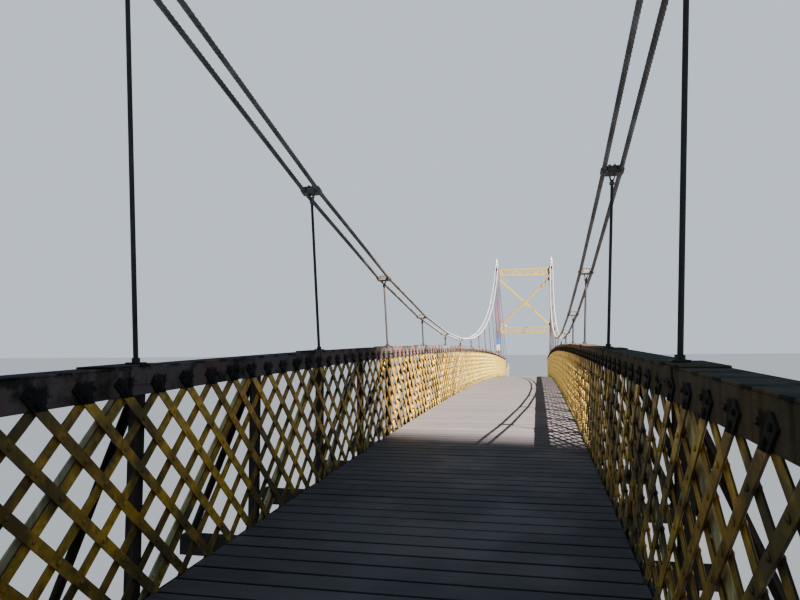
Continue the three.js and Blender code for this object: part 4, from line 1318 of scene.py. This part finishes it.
def make_portal_girder(level, vees, chord, lacing, end_label, end, sizes, materials):
    """A girder between the legs: chords of two angles, end plates and riveted zigzag lacing."""
    name = f"portal_{level}_girder_{end_label}"
    low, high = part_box(name)
    girder = Piece(random.Random(len(name) + 5 * end))
    rivet = rivet_head(sizes)
    x, reach = end * HALF_SPAN, high.y
    half, thin, bar = GIRDER_THICKNESS / 2, ANGLE_THICKNESS, real(8)
    for height, inward in ((low.z, 1), (high.z, -1)):
        for face in (-1, 1):
            edge = x + face * half
            girder.block((edge - face * thin, -reach, height), (edge, reach, height + inward * chord))
        girder.block((x - half + thin, -reach, height), (x + half - thin, reach, height + inward * thin),
                     THIN_EDGE)
    for hand, face in CORNERS:
        edge = x + face * half
        girder.block((edge - face * thin, hand * reach, low.z + real(4)),
                     (edge + face * real(5), hand * (reach - real(75)), high.z - real(4)))
    pitch = (2 * reach - chord) / (vees * 2)
    levels = (high.z - chord / 2, low.z + chord / 2)
    for index in range(vees * 2):
        start = -reach + chord / 2 + index * pitch
        z0, z1 = levels[::-1] if index % 2 else levels
        layer = half - thin - real(4) - (bar if index % 2 else 0)
        for face in (-1, 1):
            girder.bar((x + face * layer, start, z0), (x + face * layer, start + pitch, z1), lacing, bar,
                       ALONG, THIN_EDGE)
            girder.fasten(rivet, (face, 0, 0), (x + face * half, start, z0))
    for face in (-1, 1):
        girder.fasten(rivet, (face, 0, 0), (x + face * half, reach - chord / 2, levels[0]))
    discard(rivet)
    if (level, end_label) == ("lower", "far"):
        girder.spend(turned(LAMP_PROFILE, 16), at(x - real(20), reach - real(330), high.z), 0.3, 1)
    girder.finish(name.replace("portal", "riveted"), materials, "yellow_steel", [name])


def make_cross_brace(end_label, end, sizes, materials):
    """Crossed angle bars between the girders, with riveted end plates and a tie under their crossing."""
    name = f"portal_cross_brace_{end_label}"
    low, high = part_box(name)
    brace = Piece(random.Random(220 + end))
    rivet = rivet_head(sizes)
    x, reach = end * HALF_SPAN, high.y
    inner = reach - real(90)
    plate, thin, face_reach = real(130), ANGLE_THICKNESS, real(10)
    levels = (low.z + plate, high.z - plate)
    for hand in (-1, 1):
        layer = x + hand * real(5)
        foot = Vector((layer, -hand * (inner + real(40)), levels[0]))
        head = Vector((layer, hand * (inner + real(40)), levels[1]))
        tone = brace.rng.random()
        brace.bar(foot, head, BRACE_WIDTH, thin, ALONG, tone=tone)
        square = (head - foot).normalized().cross(ALONG).normalized() * (BRACE_WIDTH / 2 - real(5))
        lip = Vector((hand * real(22), 0, 0))
        brace.bar(foot + square + lip, head + square + lip, thin, real(42), ALONG, tone=tone)
        for middle in levels:
            brace.block((x - face_reach, hand * inner, middle - plate),
                        (x + face_reach, hand * reach, middle + plate))
            for level in (-1, 0, 1):
                for face in (-1, 1):
                    spot = (x + face * face_reach, hand * (reach - real(28)), middle + level * real(85))
                    brace.fasten(rivet, (face, 0, 0), spot)
    tie, middle = real(240), (low.z + high.z) / 2
    brace.block((x - thin, -tie, middle - tie), (x + thin, tie, middle - tie + real(70)))
    for face in (-1, 1):
        brace.fasten(rivet, (face, 0, 0), (x + face * face_reach, 0, middle))
    discard(rivet)
    brace.finish(f"cross_brace_{end_label}", materials, "yellow_steel", [name])


# Masonry and stage

def make_abutment(end_label, end, materials):
    """The abutment: a shelf for the deck's end, a back wall, and a pedestal for each leg."""
    name = f"abutment_{end_label}"
    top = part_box(name)[1]
    masonry = Piece(random.Random(240 + end))
    x, side = end * HALF_SPAN, top.y
    shelf = deck_height(HALF_SPAN + BEAM.x / 2) + BEAM_BOTTOM - real(1)
    front = end * (HALF_SPAN - real(900))
    back = end * (HALF_SPAN + real(1500))
    wall = end * (HALF_SPAN + real(400.6))
    inset = real(2)
    masonry.block((front, -side, 0), (back, side, shelf), real(16), cuts=2)
    masonry.block((wall, -side + inset, shelf - SHELF_BOND), (back - end * inset, side - inset, top.z),
                  WALL_EDGE, cuts=1)
    half = real(380)
    for hand in (-1, 1):
        masonry.block((x - half, hand * (END_BEAM_REACH + real(2)), shelf - SHELF_BOND),
                      (x + half, hand * (TOWER_LINE + half), top.z - real(1)), WALL_EDGE)
    masonry.finish(f"masonry_abutment_{end_label}", materials, "concrete", [name])


def make_anchor(label, side, end_label, end, materials):
    """A concrete anchor block with a sloping face that the backstays run into."""
    name = f"anchor_block_{end_label}_{label}"
    anchor = Piece()
    anchor.bm.from_mesh(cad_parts[name].data)
    bmesh.ops.remove_doubles(anchor.bm, verts=anchor.bm.verts, dist=1e-5)
    bmesh.ops.dissolve_limit(anchor.bm, angle_limit=math.radians(1), verts=anchor.bm.verts,
                             edges=anchor.bm.edges)
    bevel_all(anchor.bm, real(18), 2)
    route = rope_route(side, 0)
    foot, after = route[:2] if end < 0 else route[:-3:-1]
    away = (after - foot).normalized()
    square = away.cross(ACROSS).normalized()
    thickness = real(16)
    face = Matrix((square, ACROSS, away)).transposed().to_4x4()
    plate = block(real(300), real(420), thickness, HEAVY_EDGE)
    anchor.spend(plate, Matrix.Translation(foot + away * thickness / 2) @ face, 0.4, 1)
    bolt = disc(*ANCHOR_BOLT)
    for dx, dy in CORNERS:
        spot = foot + away * thickness + square * dx * real(115) + ACROSS * dy * real(175)
        anchor.stamp(bolt, facing(away, spot), 0.6, 1)
    discard(bolt)
    anchor.finish(f"anchorage_{end_label}_{label}", materials, "concrete", [name])


def make_stage():
    """Plain pale floor, soft studio light and the camera at the photograph's viewing angle."""
    make_floor()
    light_sky()
    key = bpy.data.lights.new("key", "SPOT")
    key.energy = KEY_POWER
    key.color = KEY_COLOUR
    key.spot_size = KEY_CONE
    key.spot_blend = KEY_BLEND
    key.shadow_soft_size = KEY_RADIUS
    place_light(key, "footbridge pieces")
    wash = bpy.data.lights.new("floor_wash", "SUN")
    wash.energy = FLOOR_LIGHT
    wash.angle = FLOOR_SHADE
    place_light(wash, "floor pieces")
    place_camera()


def make_floor():
    bm = bmesh.new()
    bmesh.ops.create_grid(bm, x_segments=1, y_segments=1, size=FLOOR_REACH)
    bmesh.ops.translate(bm, vec=(0, 0, -real(2)), verts=bm.verts)
    mesh = bpy.data.meshes.new("stage_floor")
    bm.to_mesh(mesh)
    bm.free()
    mesh.materials.append(stage_material())
    floor = bpy.data.objects.new("stage_floor", mesh)
    bpy.context.scene.collection.objects.link(floor)
    group_of("floor pieces").objects.link(floor)


def light_sky():
    """A blue sky that the camera sees brighter and paler than it lights the bridge."""
    world = bpy.data.worlds.new("studio")
    world.use_nodes = True
    sky = Wiring(world.node_tree)
    background = world.node_tree.nodes["Background"]
    seen = sky.node("LightPath").outputs["Is Camera Ray"]
    sky.feed(background.inputs["Strength"], sky.spread(seen, 0.0, 1.0, *SKY_STRENGTH))
    sky.feed(background.inputs["Color"], sky.mix(seen, *SKY_COLOURS))
    bpy.context.scene.world = world


def place_camera():
    """Puts the camera where the photograph was taken from."""
    camera = bpy.data.cameras.new("camera")
    camera.lens = LENS
    camera.sensor_width = SENSOR
    camera.clip_end = FARTHEST_SEEN
    holder = bpy.data.objects.new("camera", camera)
    level = Vector((math.sin(HEADING), -math.cos(HEADING), 0))
    flat = math.cos(PITCH)
    ahead = Vector((math.cos(HEADING) * flat, math.sin(HEADING) * flat, math.sin(PITCH)))
    top = level.cross(ahead)
    right = level * math.cos(ROLL) - top * math.sin(ROLL)
    above = level * math.sin(ROLL) + top * math.cos(ROLL)
    turn = Matrix((right, above, -ahead)).transposed().to_4x4()
    holder.matrix_world = Matrix.Translation(EYE) @ turn
    bpy.context.scene.collection.objects.link(holder)
    bpy.context.scene.camera = holder


def place_light(light, receivers):
    """Puts a light up behind the camera's right shoulder, for one group of things alone."""
    holder = bpy.data.objects.new(light.name, light)
    turn = KEY_RUN.to_track_quat("-Z", "Y").to_matrix().to_4x4()
    holder.matrix_world = Matrix.Translation(KEY_TARGET - KEY_RUN * KEY_DROP) @ turn
    holder.light_linking.receiver_collection = group_of(receivers)
    bpy.context.scene.collection.objects.link(holder)


# Sizes and colours that a user would change

def length_property(name, description, default):
    return bpy.props.FloatProperty(name=name, description=description, default=default, min=0.0,
                                   unit="LENGTH", precision=4)


def colour_property(name, description, *shade):
    return bpy.props.FloatVectorProperty(name=name, description=description, default=from_srgb(*shade),
                                         size=4, min=0.0, max=1.0, subtype="COLOR")


class FootbridgeSizes(bpy.types.PropertyGroup):
    """Sizes that a user would change"""
    board_pitch: length_property("Board pitch", "Distance from one deck board to the next",
                                 BAY / BOARDS_IN_BAY)
    board_gap: length_property("Board gap", "Usual gap between two boards", real(15))
    board_reach: length_property("Board reach", "Half the length of a deck board", real(1372))
    first_board: bpy.props.FloatProperty(name="First board", default=0.54, min=0.1, max=1.0,
                                         description="Part of a board that starts the deck")
    flat_width: length_property("Flat width", "Width of a lattice flat", real(58))
    flat_thickness: length_property("Flat thickness", "Thickness of a lattice flat", real(10))
    rivet_radius: length_property("Rivet radius", "Radius of a rivet head", real(13))
    rope_lay: length_property("Rope lay", "Length in which a strand goes round the rope once", real(280))
    rod_radius: length_property("Rod radius", "Radius of a hanger rod", real(14.5))


class FootbridgeColours(bpy.types.PropertyGroup):
    """Colours that a user would change"""
    boards: colour_property("Boards", "Dark weathered boards", 73, 69, 71)
    boards_pale: colour_property("Worn boards", "Boards where feet have worn them", 97, 87, 84)
    black: colour_property("Black paint", "Paint of the chords and posts", 34, 33, 30)
    black_worn: colour_property("Worn black paint", "Dusty and faded black paint", 66, 60, 50)
    black_brown: colour_property("Brown-black paint", "Paint of the right top chord", 52, 47, 34)
    black_brown_worn: colour_property("Worn brown-black paint", "Its faded streaks", 98, 82, 52)
    smear: colour_property("Smears", "Old pale and pinkish paint rubbed over the top chords", 150, 134, 130)
    yellow: colour_property("Yellow paint", "Paint of the lattice and girders", 244, 186, 30)
    yellow_deep: colour_property("Deep yellow paint", "Flats that kept more of their colour", 206, 148, 18)
    # Pale yellow for the painted sunlight on the far half of the lattice.
    yellow_painted_sunlight: colour_property("Yellow paint with painted sunlight", "Sunlit far half", 255, 226, 96)
    yellow_faded: colour_property("Faded yellow paint", "Chalky, sun-faded yellow", 240, 218, 134)
    tower: colour_property("Tower paint", "Lilac-grey paint of the tower legs", 66, 62, 74)
    tower_pale: colour_property("Pale tower paint", "Chalky parts of the tower legs", 96, 90, 104)
    # The rope colour is also the painted shade of the near half's ropes, and the galvanised colour their
    # painted sunlight in the far half.
    rope: colour_property("Rope", "Greased and weathered wires", 84, 76, 70)
    galvanised: colour_property("Galvanised iron", "Clamps, nuts and worn wires", 186, 182, 178)
    grime: colour_property("Grime", "Olive-brown dirt on the yellow paint", 94, 83, 34)
    rust: colour_property("Rust", "Fresh rust", 116, 62, 24)
    rust_dark: colour_property("Dark rust", "Old rust under black paint", 58, 42, 32)
    concrete: colour_property("Concrete", "Clean concrete", 114, 108, 94)


# Operators, one for each group of like pieces and one for the stage

class FOOTBRIDGE_OT_stage(bpy.types.Operator):
    """Sets up the floor, the lights and the camera"""
    bl_idname = "footbridge.stage"
    bl_label = "Stage"
    bl_options = {"REGISTER", "UNDO"}

    def execute(self, context):
        make_stage()
        return {"FINISHED"}


class FOOTBRIDGE_OT_masonry(bpy.types.Operator):
    """Builds the abutments and the anchor blocks"""
    bl_idname = "footbridge.masonry"
    bl_label = "Masonry"
    bl_options = {"REGISTER", "UNDO"}

    def execute(self, context):
        colours = context.scene.footbridge_colours
        materials = [concrete_material(colours), galvanised(colours)]
        for end_label, end in ENDS:
            make_abutment(end_label, end, materials)
            for label, side in SIDES:
                make_anchor(label, side, end_label, end, materials)
        return {"FINISHED"}


class FOOTBRIDGE_OT_deck(bpy.types.Operator):
    """Lays the deck boards"""
    bl_idname = "footbridge.deck"
    bl_label = "Deck boards"
    bl_options = {"REGISTER", "UNDO"}

    def execute(self, context):
        make_deck(context.scene.footbridge_sizes, context.scene.footbridge_colours)
        return {"FINISHED"}


class FOOTBRIDGE_OT_floor(bpy.types.Operator):
    """Builds the cross beams and stringers under the deck"""
    bl_idname = "footbridge.floor"
    bl_label = "Floor beams"
    bl_options = {"REGISTER", "UNDO"}

    def execute(self, context):
        colours = context.scene.footbridge_colours
        paint = old_paint("floor_paint", colours).done()
        for quarter in range(QUARTERS):
            make_floor_quarter(quarter, [paint, galvanised(colours)])
        return {"FINISHED"}


class FOOTBRIDGE_OT_parapets(bpy.types.Operator):
    """Builds the top chords, posts, diagonals and struts of both parapets"""
    bl_idname = "footbridge.parapets"
    bl_label = "Parapet frames"
    bl_options = {"REGISTER", "UNDO"}

    def execute(self, context):
        sizes, colours = context.scene.footbridge_sizes, context.scene.footbridge_colours
        materials = [old_paint(name, colours).done() for name in ("black_paint", "diagonal_paint")]
        for label, side in SIDES:
            make_handrail(label, side, sizes, [chord_paint(label, colours)])
            for end_label, end in ENDS:
                make_parapet_frame(label, side, end_label, end, sizes, materials)
        return {"FINISHED"}


class FOOTBRIDGE_OT_lattice(bpy.types.Operator):
    """Builds the riveted lattice of both parapets"""
    bl_idname = "footbridge.lattice"
    bl_label = "Lattice"
    bl_options = {"REGISTER", "UNDO"}

    def execute(self, context):
        sizes, colours = context.scene.footbridge_sizes, context.scene.footbridge_colours
        for label, side in SIDES:
            lap_paint = old_paint(f"lap_paint_{label}", colours).done()
            make_lattice(label, side, sizes, [lattice_paint(label, colours), lap_paint])
        return {"FINISHED"}


class FOOTBRIDGE_OT_ropes(bpy.types.Operator):
    """Lays the wire ropes over the towers and into their sockets"""
    bl_idname = "footbridge.ropes"
    bl_label = "Wire ropes"
    bl_options = {"REGISTER", "UNDO"}

    def execute(self, context):
        make_ropes(context.scene.footbridge_sizes, context.scene.footbridge_colours)
        return {"FINISHED"}


class FOOTBRIDGE_OT_hangers(bpy.types.Operator):
    """Builds the hanger rods with their clamps and nuts"""
    bl_idname = "footbridge.hangers"
    bl_label = "Hangers"
    bl_options = {"REGISTER", "UNDO"}

    def execute(self, context):
        colours = context.scene.footbridge_colours
        materials = [old_paint("rod_iron", colours).done(), galvanised(colours)]
        for label, side in SIDES:
            make_hangers(label, side, context.scene.footbridge_sizes, materials)
        return {"FINISHED"}


class FOOTBRIDGE_OT_towers(bpy.types.Operator):
    """Builds the tower legs, saddles, finials, girders and cross braces"""
    bl_idname = "footbridge.towers"
    bl_label = "Towers"
    bl_options = {"REGISTER", "UNDO"}

    def execute(self, context):
        sizes, colours = context.scene.footbridge_sizes, context.scene.footbridge_colours
        names = ("lilac_grey_paint", "finial_paint", "yellow_paint", "blue_plate_paint", "white_plate_paint")
        grey, cream, yellow, blue, white = (old_paint(name, colours).done() for name in names)
        leg_with_plates = [smeared_tower_paint(colours), blue, white]
        for end_label, end in ENDS:
            for label, side in SIDES:
                paints = leg_with_plates if (label, end_label) == ("left", "far") else [grey]
                make_tower_leg(label, side, end_label, end, sizes, paints)
                make_saddle(label, side, end_label, end, [grey, cream])
            for girder in GIRDERS:
                make_portal_girder(*girder, end_label, end, sizes, [yellow, white])
            make_cross_brace(end_label, end, sizes, [yellow])
        return {"FINISHED"}


PIECE_OPERATORS = ("stage", "masonry", "deck", "floor", "parapets", "lattice", "ropes", "hangers", "towers")


class FOOTBRIDGE_PT_pieces(bpy.types.Panel):
    """Lists the operators in the order of building"""
    bl_idname = "FOOTBRIDGE_PT_pieces"
    bl_label = "Footbridge"
    bl_space_type = "VIEW_3D"
    bl_region_type = "UI"
    bl_category = "Footbridge"

    def draw(self, context):
        layout = self.layout
        for name in PIECE_OPERATORS:
            layout.operator(f"footbridge.{name}")
        for group in (context.scene.footbridge_sizes, context.scene.footbridge_colours):
            column = layout.column()
            for name in group.__annotations__:
                column.prop(group, name)


CLASSES = (FootbridgeSizes, FootbridgeColours, FOOTBRIDGE_OT_stage, FOOTBRIDGE_OT_masonry, FOOTBRIDGE_OT_deck,
           FOOTBRIDGE_OT_floor, FOOTBRIDGE_OT_parapets, FOOTBRIDGE_OT_lattice, FOOTBRIDGE_OT_ropes,
           FOOTBRIDGE_OT_hangers, FOOTBRIDGE_OT_towers, FOOTBRIDGE_PT_pieces)


def register():
    for item in CLASSES:
        bpy.utils.register_class(item)
    bpy.types.Scene.footbridge_sizes = bpy.props.PointerProperty(type=FootbridgeSizes)
    bpy.types.Scene.footbridge_colours = bpy.props.PointerProperty(type=FootbridgeColours)


def unregister():
    del bpy.types.Scene.footbridge_colours
    del bpy.types.Scene.footbridge_sizes
    for item in reversed(CLASSES):
        bpy.utils.unregister_class(item)


def main():
    register()
    for name in PIECE_OPERATORS:
        getattr(bpy.ops.footbridge, name)()


if __name__ == "__main__":
    main()
